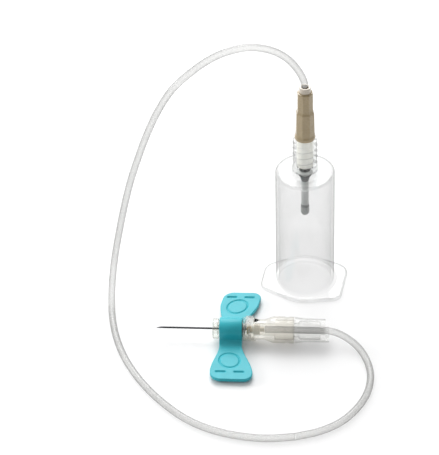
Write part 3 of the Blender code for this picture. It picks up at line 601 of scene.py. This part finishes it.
def flange_reach(inset=0.0):
    """How far the flange's edge is from the axis at an angle: the line round a disc and its corners."""
    discs = [(0.0, 0.0, FLANGE_RADIUS - inset)]
    for corner, out, radius in FLANGE_CORNERS:
        angle = math.radians(corner)
        discs.append((out * MM * math.cos(angle), out * MM * math.sin(angle), radius * MM - inset))
    outline = []
    for step in range(FLANGE_STEPS):
        angle = math.tau * step / FLANGE_STEPS
        toward = (math.cos(angle), math.sin(angle))
        x, y, radius = max(discs, key=lambda d: d[0] * toward[0] + d[1] * toward[1] + d[2])
        outline.append((x + radius * toward[0], y + radius * toward[1]))
    outline.sort(key=lambda point: math.atan2(point[1], point[0]))
    angles = [math.atan2(y, x) for x, y in outline]

    def reach(angle):
        turned_in = (angle + math.pi) % math.tau - math.pi
        after = bisect.bisect_left(angles, turned_in) % len(outline)
        first, second = Vector(outline[after - 1]), Vector(outline[after])
        along = second - first
        across = math.cos(angle) * along.y - math.sin(angle) * along.x
        if along.length < TINY or abs(across) < TINY * MM:
            return second.length
        return (first.x * second.y - first.y * second.x) / across
    return reach


def make_holder(material):
    under = HOLDER_HEIGHT - SHOULDER_THICKNESS
    mouth = MOUTH_RADIUS - WALL
    socket = HOLDER_HOLE + SOCKET_WALL
    boss = softened([(HOLDER_HEIGHT, BOSS_RADIUS + 0.5 * MM), (HOLDER_HEIGHT, BOSS_RADIUS),
                     (BOSS_TOP, BOSS_RADIUS - 0.1 * MM), (BOSS_TOP, HOLDER_HOLE),
                     (SOCKET_BOTTOM, HOLDER_HOLE), (SOCKET_BOTTOM, socket),
                     (under, socket), (under, socket + 1.0 * MM)], 0.18 * MM)
    shoulder = (TOP_RADIUS - SHOULDER_FILLET, HOLDER_HEIGHT - SHOULDER_FILLET)
    outer = profile_arc(shoulder, SHOULDER_FILLET, 90, 0, 9)
    wall_out = [(FLANGE + 0.5 * MM, MOUTH_RADIUS), (FLANGE + 0.15 * MM, MOUTH_RADIUS + 0.1 * MM),
                (FLANGE, MOUTH_RADIUS + 0.45 * MM)]
    plate = [(FLANGE, flange_reach(RIM_IN))]
    for step in range(1, 7):
        angle = math.radians(90 - 15 * step)
        inset = RIM_IN - RIM_IN * math.cos(angle)
        plate.append((FLANGE - RIM_UP + RIM_UP * math.sin(angle), flange_reach(inset)))
    for step in range(6):
        angle = math.radians(-18 * step)
        inset = FLANGE_EDGE - FLANGE_EDGE * math.cos(angle)
        plate.append((FLANGE_EDGE + FLANGE_EDGE * math.sin(angle), flange_reach(inset)))
    wall_in = [(0.0, mouth + 0.35 * MM), (0.1 * MM, mouth + 0.2 * MM), (0.6 * MM, mouth)]
    inner = profile_arc((TOP_RADIUS - WALL - INNER_FILLET, under - INNER_FILLET), INNER_FILLET, 0, 90, 5)
    profile = boss[-2::-1] + outer + wall_out + plate + wall_in + inner
    mesh = turned("holder_shell", profile, 144)
    add_piece("holder_shell", mesh, material, "set", ["tube_holder"], HOLDER)


# Luer joint: profiles are (height, radius) pairs. The grip's radius is in mm
COLLAR_FOOT = BOSS_TOP + GAP
COLLAR_TOP = COLLAR_FOOT + 12.2 * MM
COLLAR_RADIUS = 3.9 * MM
COLLAR_BORE = 3.05 * MM
COLLAR_FLOOR = COLLAR_FOOT + 1.3 * MM
NOZZLE_ROOT = COLLAR_FOOT
NOZZLE_END = NOZZLE_ROOT - 2.4 * MM
NEEDLE_SEAT = 0.42 * MM
THREAD_PITCH = 2.3 * MM
THREAD_RISE = 0.25 * MM
THREAD_ROOT = COLLAR_RADIUS - 0.05 * MM
THREAD_FADE = THREAD_PITCH * 0.4
THREAD_SPREAD = 0.16
THREAD_STEPS = 70
RUBBER_TOP = NOZZLE_ROOT - GAP
RUBBER_TIP = RUBBER_TOP - 19.0 * MM
RUBBER_END = 1.45 * MM
RUBBER_BORE = 0.73 * MM
NEEDLE_HOLE = 0.4 * MM
REAR_NEEDLE_RADIUS = 0.36 * MM
BEVEL_ANGLE = math.radians(14.0)
GRIP = 2.62
GRIP_FLATS = 8
GRIP_TURN = math.radians(7.0)


def thread(height, start, end):
    """The collar's radius at a height, with a helical ridge that fades at two heights."""
    def at(angle):
        turns = (height - start) / THREAD_PITCH - angle / math.tau
        place = (turns % 1.0) - 0.5
        fade = min(1.0, max(0.0, (height - start) / THREAD_FADE))
        fade *= min(1.0, max(0.0, (end - height) / THREAD_FADE))
        return THREAD_ROOT + THREAD_RISE * fade * math.exp(-(place / THREAD_SPREAD) ** 2)
    return at


def make_connector(material):
    top, foot = COLLAR_TOP, COLLAR_FOOT
    flare_room = 2.9 * MM
    cone_top = top - 0.9 * MM
    low, high = foot + 1.6 * MM, top - 0.7 * MM
    outside = [(top - 0.25 * MM, COLLAR_RADIUS)]
    for step in range(THREAD_STEPS + 1):
        height = high - (high - low) * step / THREAD_STEPS
        outside.append((height, thread(height, low, high)))
    rest = softened([(foot + 1.5 * MM, COLLAR_RADIUS), (foot + 1.3 * MM, COLLAR_RADIUS),
                     *over(foot, (0.8, 4.3), (0.0, 4.35), (0.0, 3.6)),
                     (SOCKET_BOTTOM, 3.55 * MM), (SOCKET_BOTTOM, flare_room), (NOZZLE_ROOT, flare_room),
                     (NOZZLE_ROOT, 1.6 * MM), (NOZZLE_END, 1.0 * MM), (NOZZLE_END, NEEDLE_SEAT),
                     (cone_top, NEEDLE_SEAT), (cone_top, 1.95 * MM), (COLLAR_FLOOR, 2.15 * MM),
                     (COLLAR_FLOOR, COLLAR_BORE), (top, COLLAR_BORE), (top, COLLAR_RADIUS)], 0.14 * MM)
    mesh = turned("connector_body", outside + rest[1:])
    add_piece("connector_body", mesh, material, "set", ["luer_connector"], HOLDER)


def flats(radius, sharp=1.0):
    """A grip with flats. At a sharpness under 1 it is between them and a round one."""
    def at(angle):
        step = math.tau / GRIP_FLATS
        off = (angle - GRIP_TURN + step / 2) % step - step / 2
        flat = radius * math.cos(step / 2) / math.cos(off)
        return radius * (1 - sharp) + flat * sharp
    return at


def make_adapter(material):
    bottom, rim, top = COLLAR_FLOOR + GAP, COLLAR_TOP + GAP, ADAPTER_TOP
    step, neck = rim + 9.9 * MM, rim + 17.7 * MM
    cap = over(top, (-0.05, 1.2), (0.0, 1.26), (0.0, 1.76), (-0.1, 1.85))
    cap += over(neck, (0.5, 1.88), (0.15, 1.95), (0.0, 2.1))
    grips = [(neck, -0.05, GRIP - 0.16, 1.0), (neck, -0.25, GRIP, 1.0), (step, 1.4, GRIP + 0.02, 1.0),
             (step, 0.9, GRIP + 0.1, 0.9), (step, 0.4, GRIP + 0.3, 0.9), (step, 0.1, 3.04, 1.0),
             (step, -0.4, 3.08, 1.0), (rim, 2.9, 3.24, 1.0), (rim, 2.0, 3.28, 0.8), (rim, 1.4, 3.32, 0.4)]
    grips = [(base + height * MM, flats(radius * MM, sharp)) for base, height, radius, sharp in grips]
    flare = over(rim, (1.1, 3.38), (0.9, 3.42), (0.2, 3.42), (0.04, 3.36), (0.0, 3.25))
    skirt = over(rim, (0.0, 2.72)) + over(bottom, (0.0, 2.72), (0.0, 2.45))
    bore = over(COLLAR_TOP, (-0.3, 2.25), (-0.3, 0.6))
    bore += over(top, (-5.0, 0.6), (-5.0, 1.45), (-0.6, 1.45), (-0.4, 1.2))
    mesh = turned("adapter_body", cap + grips + flare + skirt + bore)
    add_piece("adapter_body", mesh, material, "set", ["luer_adapter"], HOLDER, 28.0)


def make_rear_needle(rubber, steel):
    top, tip, nozzle = RUBBER_TOP, RUBBER_TIP, NOZZLE_END - GAP
    outside = over(top, (0.0, 2.3), (-0.8, 2.5), (-1.2, 2.58), (-2.0, 2.2), (-3.2, 1.6), (-4.4, 1.25))
    outside += over(tip, (5.6, 1.25), (4.6, 1.3), (3.6, 1.43))
    outside += profile_arc((0.0, tip + RUBBER_END), RUBBER_END, 0, -88, 8)
    inside = [(tip + 0.84 * MM, 0.02 * MM), (tip + 0.84 * MM, NEEDLE_HOLE), (tip + 1.2 * MM, RUBBER_BORE),
              (nozzle, RUBBER_BORE), (nozzle, 1.3 * MM), (top, 1.9 * MM)]
    mesh = turned("rubber_boot", outside + inside, 48)
    add_piece("rubber_boot", mesh, rubber, "set", ["rubber_sleeve"], HOLDER, 45.0)
    low = tip + 1.44 * MM
    mesh = needle_pipe("rear_needle_tube", COLLAR_FLOOR, low, REAR_NEEDLE_RADIUS, 0.18 * MM, 24, "Z")
    add_piece("rear_needle_tube", mesh, steel, "set", ["rear_needle"], HOLDER, 30.0)


def needle_pipe(name, top, low, radius, bore, sides, along):
    """A pipe from one place to another along an axis, with a ground bevel at its low end."""
    mesh = turned(name, [(top, bore), (top, radius), (low, radius), (low, bore)], sides, along)
    length = radius * 2 / math.tan(BEVEL_ANGLE)
    reach = radius * 4
    past = radius * 1.001
    wedge = [(0.0, -past), (length, past), (length, reach), (-reach, reach), (-reach, -past)]
    tool = loft("wedge", [[(x, y, z) for x, y in wedge] for z in (-reach, reach)])
    if along == "Z":
        turn = Matrix(((0, 1, 0, 0), (0, 0, 1, 0), (1, 0, 0, 0), (0, 0, 0, 1)))
        tip = Vector((0.0, 0.0, low))
    else:
        turn = Matrix(((1, 0, 0, 0), (0, 0, -1, 0), (0, 1, 0, 0), (0, 0, 0, 1)))
        tip = Vector((low, 0.0, 0.0))
    tool.transform(Matrix.Translation(tip) @ turn)
    return combined(mesh, tool)


# Barrels: profiles are (place along the barrel, radius) pairs
NOSE_LENGTH = 2.0 * MM
NOSE_RADIUS = 3.4 * MM
NECK_RADIUS = 2.7 * MM
NEEDLE_BORE = 0.62 * MM
SLEEVE_START = NOSE_LENGTH + GAP
SLEEVE_END = SLEEVE_START + 7.5 * MM
HOUSING_START = SLEEVE_END + GAP
HOUSING_END = HOUSING_START + 4.3 * MM
FRONT_END = 27.0 * MM
GROOVE_START = FRONT_END - 3.0 * MM
GROOVE_END = GROOVE_START + 1.4 * MM
GROOVE_DEPTH = 0.22 * MM
FLARE_START = HOUSING_END + (GROOVE_START - HOUSING_END) * 0.25
FLARE_LENGTH = (GROOVE_START - HOUSING_END) * 0.4
FLARE_END = FLARE_START + FLARE_LENGTH
FLARE_STEPS = 12
TAIL_START = FRONT_END + GAP
TAIL_LIP = 1.3 * MM
TAIL_BORE = 3.1 * MM
TAIL_HOLE = 1.5 * MM
SPIGOT_SEEN = 0.5 * MM
SPIGOT_BORE = 2.35 * MM
BARREL_RADIUS = 3.4 * MM
BULGE_RADIUS = 4.42 * MM
MAIN_BORE = 2.05 * MM
WIDE_BORE = 3.45 * MM
BUTTON_LENGTH = 2.6 * MM
BUTTON_START = (HOUSING_START + HOUSING_END - BUTTON_LENGTH) / 2
BUTTON_END = BUTTON_START + BUTTON_LENGTH
FAR = 9.0 * MM


def eased(share):
    """A share of 0 to 1 that starts and ends gently."""
    return share * share * (3 - 2 * share)


def squared(flat, corner):
    """A square section with that reach at its flats and at its round corners."""
    def at(angle):
        off = (angle + math.pi / 4) % (math.pi / 2) - math.pi / 4
        return min(flat / math.cos(off), corner)
    return at


def make_front_barrel(material):
    soft = 0.35 * MM
    nose = softened([(0.0, NEEDLE_BORE), (0.0, NOSE_RADIUS), (NOSE_LENGTH, NOSE_RADIUS),
                     (NOSE_LENGTH, NECK_RADIUS), (HOUSING_START, NECK_RADIUS)], 0.32 * MM, 4)
    squares = [(HOUSING_START, 2.95, 3.65), (HOUSING_START + 0.1 * MM, 3.15, 3.85),
               (HOUSING_START + soft, 3.3, 4.0), (HOUSING_END - soft, 3.3, 4.0),
               (HOUSING_END - 0.1 * MM, 3.3, 3.8), (HOUSING_END, 3.3, 3.4)]
    housing = [(HOUSING_START, NECK_RADIUS)]
    housing += [(place, squared(flat * MM, corner * MM)) for place, flat, corner in squares]
    housing += [(HOUSING_END + soft, BARREL_RADIUS)]
    flare = [(FLARE_START, BARREL_RADIUS)]
    for step in range(1, FLARE_STEPS + 1):
        share = step / FLARE_STEPS
        flare.append((FLARE_START + FLARE_LENGTH * share,
                      BARREL_RADIUS + (BULGE_RADIUS - BARREL_RADIUS) * eased(share)))
    end = softened([(FLARE_END, BULGE_RADIUS), (GROOVE_START, BULGE_RADIUS),
                    (GROOVE_START, BULGE_RADIUS - GROOVE_DEPTH), (GROOVE_END, BULGE_RADIUS - GROOVE_DEPTH),
                    (GROOVE_END, BULGE_RADIUS), (FRONT_END, BULGE_RADIUS), (FRONT_END, WIDE_BORE),
                    (FLARE_END, WIDE_BORE), (FLARE_END, MAIN_BORE), (1.5 * MM, MAIN_BORE),
                    (1.5 * MM, NEEDLE_BORE), (0.0, NEEDLE_BORE)], 0.12 * MM)
    shell = turned("front_barrel_shell", nose[1:-1] + housing + flare + end[1:-4], along="X")
    side = 2.7 * MM
    window = box("window", (BUTTON_START - GAP, -side, -2.4 * MM), (BUTTON_END + GAP, side, FAR))
    mesh = combined(shell, window)
    add_piece("front_barrel_shell", mesh, material, "set", ["front_barrel"], BARREL)


def make_rear_barrel(material, hidden):
    """The tail. The faces of its spigot, inside the front barrel, have a clearer material."""
    end, wall, wide = TAIL_END + TAIL_LIP, TAIL_END - TAIL_WALL, TAIL_START + 1.7 * MM
    spigot = TAIL_START - SPIGOT_SEEN
    profile = softened([
        *over(spigot, (0.0, 3.0), (0.2, 3.15)),
        *over(TAIL_START, (0.0, 3.15), (0.0, 4.35), (1.1, 4.18), (3.4, 3.9)), (end, 3.86 * MM),
        (end, TAIL_HOLE), (wall, TAIL_HOLE), (wall, TAIL_BORE), (wide, TAIL_BORE),
        (wide - 0.75 * MM, SPIGOT_BORE), (spigot, SPIGOT_BORE)], 0.15 * MM)
    notch = box("notch", (TAIL_END, -FAR, -1.2 * MM), (TAIL_END + 5.0 * MM, FAR, FAR))
    shell = combined(turned("rear_barrel_shell", profile, along="X"), notch)
    within = [int(face.center.x < TAIL_START - 0.1 * MM) for face in shell.polygons]
    add_piece("rear_barrel_shell", shell, material, "set", ["rear_barrel"], BARREL)
    shell.materials.append(hidden)
    shell.polygons.foreach_set("material_index", within)


def make_hub(cream, steel):
    wide, neck, bore = 1.75, 1.2, 0.62
    shape = over(11.3 * MM, (0.0, bore), (0.0, wide), (0.6, wide), (0.6, neck), (2.0, neck), (2.0, wide),
                 (4.3, wide), (4.3, 0.8)) + over(HUB_END, (0.0, 0.8), (0.0, bore))
    profile = softened(shape, 0.12 * MM)
    mesh = turned("hub_body", profile, 48, along="X")
    add_piece("hub_body", mesh, cream, "needle_carrier", ["needle_hub"], BARREL)
    mesh = needle_pipe("needle_tube", 15.6 * MM, -19.05 * MM, 0.32 * MM, 0.165 * MM, 32, "X")
    add_piece("needle_tube", mesh, steel, "needle_carrier", ["needle"], BARREL, 30.0)


def make_spring(material):
    low, high = 1.96 * MM, 10.84 * MM
    coil_radius, wire_radius, wire_sides = 1.35 * MM, 0.17 * MM, 10
    turns, per_turn = 11, 28
    coil = []
    for number in range(turns * per_turn + 1):
        turn = math.tau * number / per_turn
        along = low + (high - low) * number / (turns * per_turn)
        coil.append(barrel_point(along, coil_radius * math.cos(turn), coil_radius * math.sin(turn)))
    mesh = loft("spring_coil", tube_rings(coil, wire_radius, wire_sides))
    piece = add_piece("spring_coil", mesh, material, None, ["spring"], smooth=60.0)
    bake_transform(piece)


def make_button(material):
    base = 2.95 * MM
    top = base + 0.9 * MM
    half = 2.4 * MM
    mesh = box("button_body", (BUTTON_START, -half, base), (BUTTON_END, half, top))
    for side in (-1, 1):
        near, far = sorted((side * 1.96 * MM, side * 2.41 * MM))
        leg = box("leg", (11.9 * MM, near, -1.2 * MM), (12.7 * MM, far, base + 0.45 * MM))
        mesh = combined(mesh, leg, "UNION")
    rib_half, rib_side = 0.16 * MM, 1.92 * MM
    for rib in range(3):
        middle = BUTTON_START + 0.65 * MM * (rib + 1)
        ridge = box("ridge", (middle - rib_half, -rib_side, top - 0.3 * MM),
                    (middle + rib_half, rib_side, top + 0.18 * MM))
        mesh = combined(mesh, ridge, "UNION")
    piece = new_object("worked", mesh)
    soft = piece.modifiers.new("soft", "BEVEL")
    soft.width = 0.07 * MM
    soft.segments = 2
    soft.limit_method = "ANGLE"
    soft.angle_limit = math.radians(50.0)
    mesh = modified(piece)
    add_piece("button_body", mesh, material, "button", ["push_button"], BARREL, 50.0)


def make_pointer(material):
    """A plain black pointer on the barrel, which shows which way the needle goes back."""
    start, length, half, side = 13.9 * MM, 1.5 * MM, 0.85 * MM, 0.8 * MM
    rings = []
    for height in (3.1 * MM, 3.45 * MM):
        corners = [(start, side - half), (start + length, side), (start, side + half)]
        rings.append([(along, across, height) for along, across in corners])
    mesh = loft("pointer_mark", rings)
    add_piece("pointer_mark", mesh, material, "set", [], BARREL, 0)


# Wings
WING_TOP = -2.55 * MM
WING_BOTTOM = -3.8 * MM
HINGE = 4.4 * MM
WING_REACH = 21.13 * MM
ROOT_HALF = 3.75 * MM
FLARE_AT = 5.0 * MM
CORNER = 3.0 * MM
WING_EDGE = 0.28 * MM
ROOT_RISE = 0.75 * MM
ROOT_RISE_LENGTH = 1.8 * MM
MARK_SHIFT = 0.45 * MM
RING_RADIUS = 3.35 * MM
RING_DEPTH, RING_WIDTH = 0.25 * MM, 0.24 * MM
DASH_DEPTH, DASH_WIDTH = 0.38 * MM, 0.2 * MM
DASH_SIDE = 3.0 * MM
DASH_HALF, DASH_THICK = 1.45 * MM, 0.12 * MM
WING_COLUMNS = 76
BOTTOM_COLUMNS = 12
HINGE_STATIONS, HINGE_STEP = 9, 0.12 * MM
WING_STEP = 0.17 * MM
TIP_STATIONS = 24
SLEEVE_RADIUS = 3.8 * MM
SLEEVE_BORE = 3.0 * MM
SLEEVE_EDGE = 0.25 * MM


def wing_half_width(out, tip_half, flare_end):
    share = min(max((out - FLARE_AT) / (flare_end - FLARE_AT), 0.0), 1.0)
    half = ROOT_HALF + (tip_half - ROOT_HALF) * eased(share)
    past = out - (WING_REACH - CORNER)
    if past > 0:
        half -= CORNER - math.sqrt(max(CORNER * CORNER - past * past, 0.0))
    return half


def wing_relief(along, out, ring_at, dash_at):
    """How far the wing's top dips: a ring groove and two dashes, as on the photographed wings."""
    distance = math.hypot(along + MARK_SHIFT, out - ring_at)
    groove = RING_DEPTH * math.exp(-((distance - RING_RADIUS) / RING_WIDTH) ** 2)
    for side in (-1, 1):
        away_along = max(abs(along + MARK_SHIFT - side * DASH_SIDE) - DASH_HALF, 0.0)
        away_out = max(abs(out - dash_at) - DASH_THICK, 0.0)
        groove = max(groove, DASH_DEPTH * math.exp(-(math.hypot(away_along, away_out) / DASH_WIDTH) ** 2))
    return groove


def root_rise(out):
    """The wing's top climbs a little towards the sleeve."""
    return ROOT_RISE * max(0.0, 1.0 - (out - HINGE) / ROOT_RISE_LENGTH) ** 2


def wing_stations():
    """Distances from the barrel's axis: close at the hinge, even along the wing, closer to its tip."""
    stations = [HINGE + HINGE_STEP * step for step in range(HINGE_STATIONS)]
    while stations[-1] < WING_REACH - CORNER:
        stations.append(stations[-1] + WING_STEP)
    start = stations[-1]
    for step in range(1, TIP_STATIONS + 1):
        stations.append(start + (WING_REACH - start) * math.sin(math.radians(90) * step / TIP_STATIONS))
    return stations


def make_wing(name, node, material, side, tip_half, flare_end, sweep, ring_at, dash_at):
    middle = (SLEEVE_START + SLEEVE_END) / 2
    lean = math.tan(math.radians(sweep))
    stations = wing_stations()
    rings = []
    for out in stations:
        close = WING_EDGE if out == stations[-1] else 0.0
        rise = root_rise(out)
        inner = max(wing_half_width(out, tip_half, flare_end) - WING_EDGE, 0.05 * MM)
        low, high = WING_BOTTOM + close + WING_EDGE, WING_TOP + rise - close - WING_EDGE
        ring = []
        for step in range(WING_COLUMNS + 1):
            along = -inner + 2 * inner * step / WING_COLUMNS
            ring.append((along, WING_TOP + rise - close - wing_relief(along, out, ring_at, dash_at)))
        ring += arc((inner, high), WING_EDGE, 72, 18, 3)
        ring += arc((inner, low), WING_EDGE, 0, -72, 4)
        for step in range(BOTTOM_COLUMNS + 1):
            ring.append((inner - 2 * inner * step / BOTTOM_COLUMNS, low - WING_EDGE))
        ring += arc((-inner, low), WING_EDGE, -108, -162, 3)
        ring += arc((-inner, high), WING_EDGE, 180, 108, 4)
        rings.append([(middle + along + lean * (out - HINGE), side * out, up) for along, up in ring])
    mesh = loft(name, rings)
    piece = add_piece(name, mesh, material, None, [node], BARREL, 50.0)
    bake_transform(piece)


def make_wing_sleeve(material):
    radius, base = SLEEVE_RADIUS, HINGE + 0.02 * MM
    fillet = base - radius
    foot = WING_TOP + ROOT_RISE + fillet
    notch, spring_line = WING_TOP - 0.4 * MM, -0.6 * MM
    outline = arc((0.0, 0.0), radius, 0, 180, 40)
    outline += [(-radius, spring_line), (-radius, foot + 0.1 * MM)]
    outline += arc((-base, foot), fillet, 0, -90, 6)
    outline += [(-base, notch), (-base, WING_BOTTOM)]
    outline += [(-base + 2 * base * step / 10, WING_BOTTOM) for step in range(1, 10)]
    outline += [(base, WING_BOTTOM), (base, notch)]
    outline += arc((base, foot), fillet, -90, -180, 6)
    outline += [(radius, foot + 0.1 * MM), (radius, spring_line)]
    bore = []
    for side, up in outline:
        share = SLEEVE_BORE / math.hypot(side, up)
        bore.append((side * share, up * share))

    def shrunk(amount):
        """The outline drawn in by that amount, apart from its flat bottom."""
        share = 1 - amount / radius
        low = WING_BOTTOM * 0.99
        return [(side * share, max(up * share, WING_BOTTOM) if up > low else up) for side, up in outline]
    rings = []
    chamfer = [(0.0, SLEEVE_EDGE), (SLEEVE_EDGE * 0.3, SLEEVE_EDGE * 0.3), (SLEEVE_EDGE, 0.0)]
    for along, amount in chamfer:
        rings.append([(SLEEVE_START + along, side, up) for side, up in shrunk(amount)])
    for along, amount in reversed(chamfer):
        rings.append([(SLEEVE_END - along, side, up) for side, up in shrunk(amount)])
    for along in (SLEEVE_END, SLEEVE_START):
        rings.append([(along, side, up) for side, up in bore])
    mesh = loft("wing_sleeve_body", rings, closed=True)
    add_piece("wing_sleeve_body", mesh, material, "set", ["wing_sleeve"], BARREL)


# Looks
def holder_plastic():
    """The holder's film. Its tint follows the height in four zones of distance from its axis: inside
    the walls, the walls with their corner, the corner's far side, and the flange's front rim. The darker
    tints are painted shade: the walls low down, the boss ring, the shoulder corner with a darker ring at
    its edge, that corner darker still on its far side only, and the rim darker on its front side only."""
    # Painted shade: low walls, boss ring, shoulder corner, its far side and the front rim are darker than the
    # plate.
    low_wall_shade, wall, plate, boss, rim_side_shade, rim = 0.915, 0.937, 0.965, 0.94, 0.84, 0.78
    corner, corner_ring_shade, far_corner_shade = 0.86, 0.74, 0.70
    top, flange = HOLDER_HEIGHT / MM, FLANGE / MM
    skin = [(0.0, plate), (flange + 0.1, plate), (flange + 0.6, low_wall_shade), (13.0, low_wall_shade), (17.0, wall),
            (top - 0.9, wall)]
    inner = grey_bands([(0.0, low_wall_shade), (13.0, low_wall_shade), (17.0, wall), (top - 1.3, wall),
                        (top - 1.2, plate), (top + 0.05, plate), (top + 0.1, boss), (top + 0.6, boss),
                        (top + 0.7, plate)])
    walls = grey_bands(skin + [(top - 0.8, corner), (top - 0.1, corner), (top - 0.01, corner_ring_shade)])
    far = grey_bands(skin + [(top - 0.8, far_corner_shade), (top - 0.1, far_corner_shade)])
    front = grey_bands([(0.0, plate), (0.15, rim_side_shade), (0.85, rim_side_shade), (0.95, rim), (flange - 0.06, rim),
                        (flange - 0.01, plate)])
    middle = HOLDER_AT.y
    behind = (middle + 1.0 * MM, middle + 5.0 * MM)
    before = (middle + 10.5 * MM, middle + 9.5 * MM)
    zones = [(5.3 * MM, 5.6 * MM, inner, None), (8.3 * MM, 9.3 * MM, walls, None),
             (8.8 * MM, 9.2 * MM, far, behind), (10.6 * MM, 10.7 * MM, front, before)]
    return film_plastic("holder_clear", middle=grey(plate), edge=(0.55, 0.555, 0.55), gloss=(0.03, 0.15),
                        haze=0.012, haze_color=(0.86, 0.86, 0.85), roughness=0.08, power=2.8, shade=0.96,
                        upright=HOLDER_AT, zones=zones, skin=(9.1 * MM, 9.2 * MM), foot=(2.0 * MM, 2.6 * MM))


def grey_rubber():
    """The rubber's bands lie over its tip and are painted light and shade: lighter bands, a brightest ring as
    a painted highlight, and a darker band by the tip and a near-black funnel as painted shade. Near its axis,
    the cup under its rim is lighter.
    """
    # Painted light and shade: levels over the rubber's grey, from its tip up to its rim.
    painted_levels = [(0.1, 0.85), (3.5, 0.85), (3.9, 0.4), (4.5, 0.5), (5.0, 1.2), (10.2, 1.4), (10.6, 2.3),
              (11.1, 2.3), (11.3, 1.9), (14.2, 1.8), (14.7, 0.03)]
    outside = grey_bands(painted_levels + [(17.8, 0.03), (18.0, 1.9)], RUBBER_TIP)
    core = grey_bands(painted_levels + [(16.4, 0.03), (16.7, 0.7), (19.0, 0.7)], RUBBER_TIP)
    return moulded("grey_rubber", low=(0.40, 0.41, 0.40), high=(0.50, 0.51, 0.50), roughness=0.4,
                   bands=outside, inside=(HOLDER_AT, 1.92 * MM, 2.02 * MM, core))


def tan_plastic():
    """The adapter's plastic is paler on its skirt in the collar, as painted light, and on its cap."""
    # The skirt's paleness is painted light; the cap is paler too.
    skirt, plain, cap = (2.7, 3.5, 6.0), grey(1.0), (1.6, 1.85, 2.8)
    bands = [(COLLAR_TOP, skirt), (COLLAR_TOP + 0.4 * MM, plain), (ADAPTER_TOP - 1.8 * MM, plain),
             (ADAPTER_TOP - 1.6 * MM, cap)]
    return moulded("tan_moulding", low=(0.375, 0.285, 0.150), high=(0.42, 0.322, 0.178), roughness=0.26,
                   bands=bands, coat=(0.6, 0.08))


def make_pieces():
    make_tubing(film_plastic("clear_tubing", middle=(0.925, 0.925, 0.92), edge=(0.50, 0.50, 0.495),
                             gloss=(0.02, 0.06), haze=0.08, haze_color=(0.87, 0.87, 0.86), roughness=0.22,
                             power=0.9, shade=0.9))
    make_holder(holder_plastic())
    make_connector(film_plastic("connector_clear", middle=(0.995, 0.997, 0.995), edge=(0.15, 0.16, 0.15),
                                gloss=(0.03, 0.3), haze=0.04, haze_color=(0.90, 0.90, 0.89), roughness=0.12,
                                power=2.3, shade=0.97, upright=HOLDER_AT, skin=(3.6 * MM, 3.75 * MM),
                                foot=(1.0 * MM, 2.0 * MM)))
    make_adapter(tan_plastic())
    rubber = grey_rubber()
    steel = metal("needle_steel", (0.035, 0.035, 0.038), (0.075, 0.075, 0.08), 0.28, (0.2, 4.0, 4.0))
    make_rear_needle(rubber, steel)
    make_front_barrel(film_plastic("barrel_clear", middle=(0.98, 0.972, 0.95), edge=(0.62, 0.61, 0.58),
                                   gloss=(0.03, 0.3), haze=0.12, haze_color=(0.80, 0.775, 0.72),
                                   roughness=0.10, power=3.0, shade=0.74))
    tail = film_plastic("tail_clear", middle=(0.985, 0.985, 0.98), edge=(0.60, 0.60, 0.59), gloss=(0.03, 0.3),
                        haze=0.05, haze_color=(0.85, 0.85, 0.84), roughness=0.08, power=3.0, shade=0.84)
    spigot = film_plastic("spigot_clear", middle=(0.998, 0.998, 0.996), edge=(0.93, 0.93, 0.92),
                          gloss=(0.006, 0.08), haze=0.005, haze_color=(0.85, 0.85, 0.84), roughness=0.06,
                          power=3.0, shade=0.99)
    make_rear_barrel(tail, spigot)
    # The hub is ochre at its front; behind that its cream is raised above its own colour, painted light
    # against the barrel's shade.
    ochre_then_painted_light = [(-0.9 * MM, (0.60, 0.47, 0.25)), (-0.2 * MM, (1.1, 1.1, 1.15))]
    cream = moulded("cream_moulding", (0.88, 0.83, 0.70), (0.94, 0.90, 0.78), 0.4, bands=ochre_then_painted_light, axis="X")
    make_hub(cream, steel)
    make_spring(metal("spring_wire", grey(0.05), grey(0.12), 0.35))
    make_button(film_plastic("button_clear", middle=(0.93, 0.93, 0.92), edge=(0.45, 0.45, 0.44),
                             gloss=(0.03, 0.2), haze=0.22, haze_color=(0.70, 0.70, 0.68), roughness=0.12,
                             power=2.5, shade=0.90))
    make_pointer(moulded("mark_ink", (0.004, 0.004, 0.005), (0.008, 0.008, 0.009), 0.8, gloss=0.0))
    teal = moulded("teal_moulding", (0.026, 0.43, 0.50), (0.034, 0.47, 0.55), 0.42, gloss=0.35)
    make_wing_sleeve(teal)
    make_wing("wing_front_body", "wing_front", teal, side=-1, tip_half=6.95 * MM,
              flare_end=17.8 * MM, sweep=4.3, ring_at=12.5 * MM, dash_at=17.8 * MM)
    make_wing("wing_back_body", "wing_back", teal, side=1, tip_half=6.5 * MM,
              flare_end=15.6 * MM, sweep=10.2, ring_at=13.9 * MM, dash_at=18.8 * MM)


make_camera()
make_studio()
make_pieces()
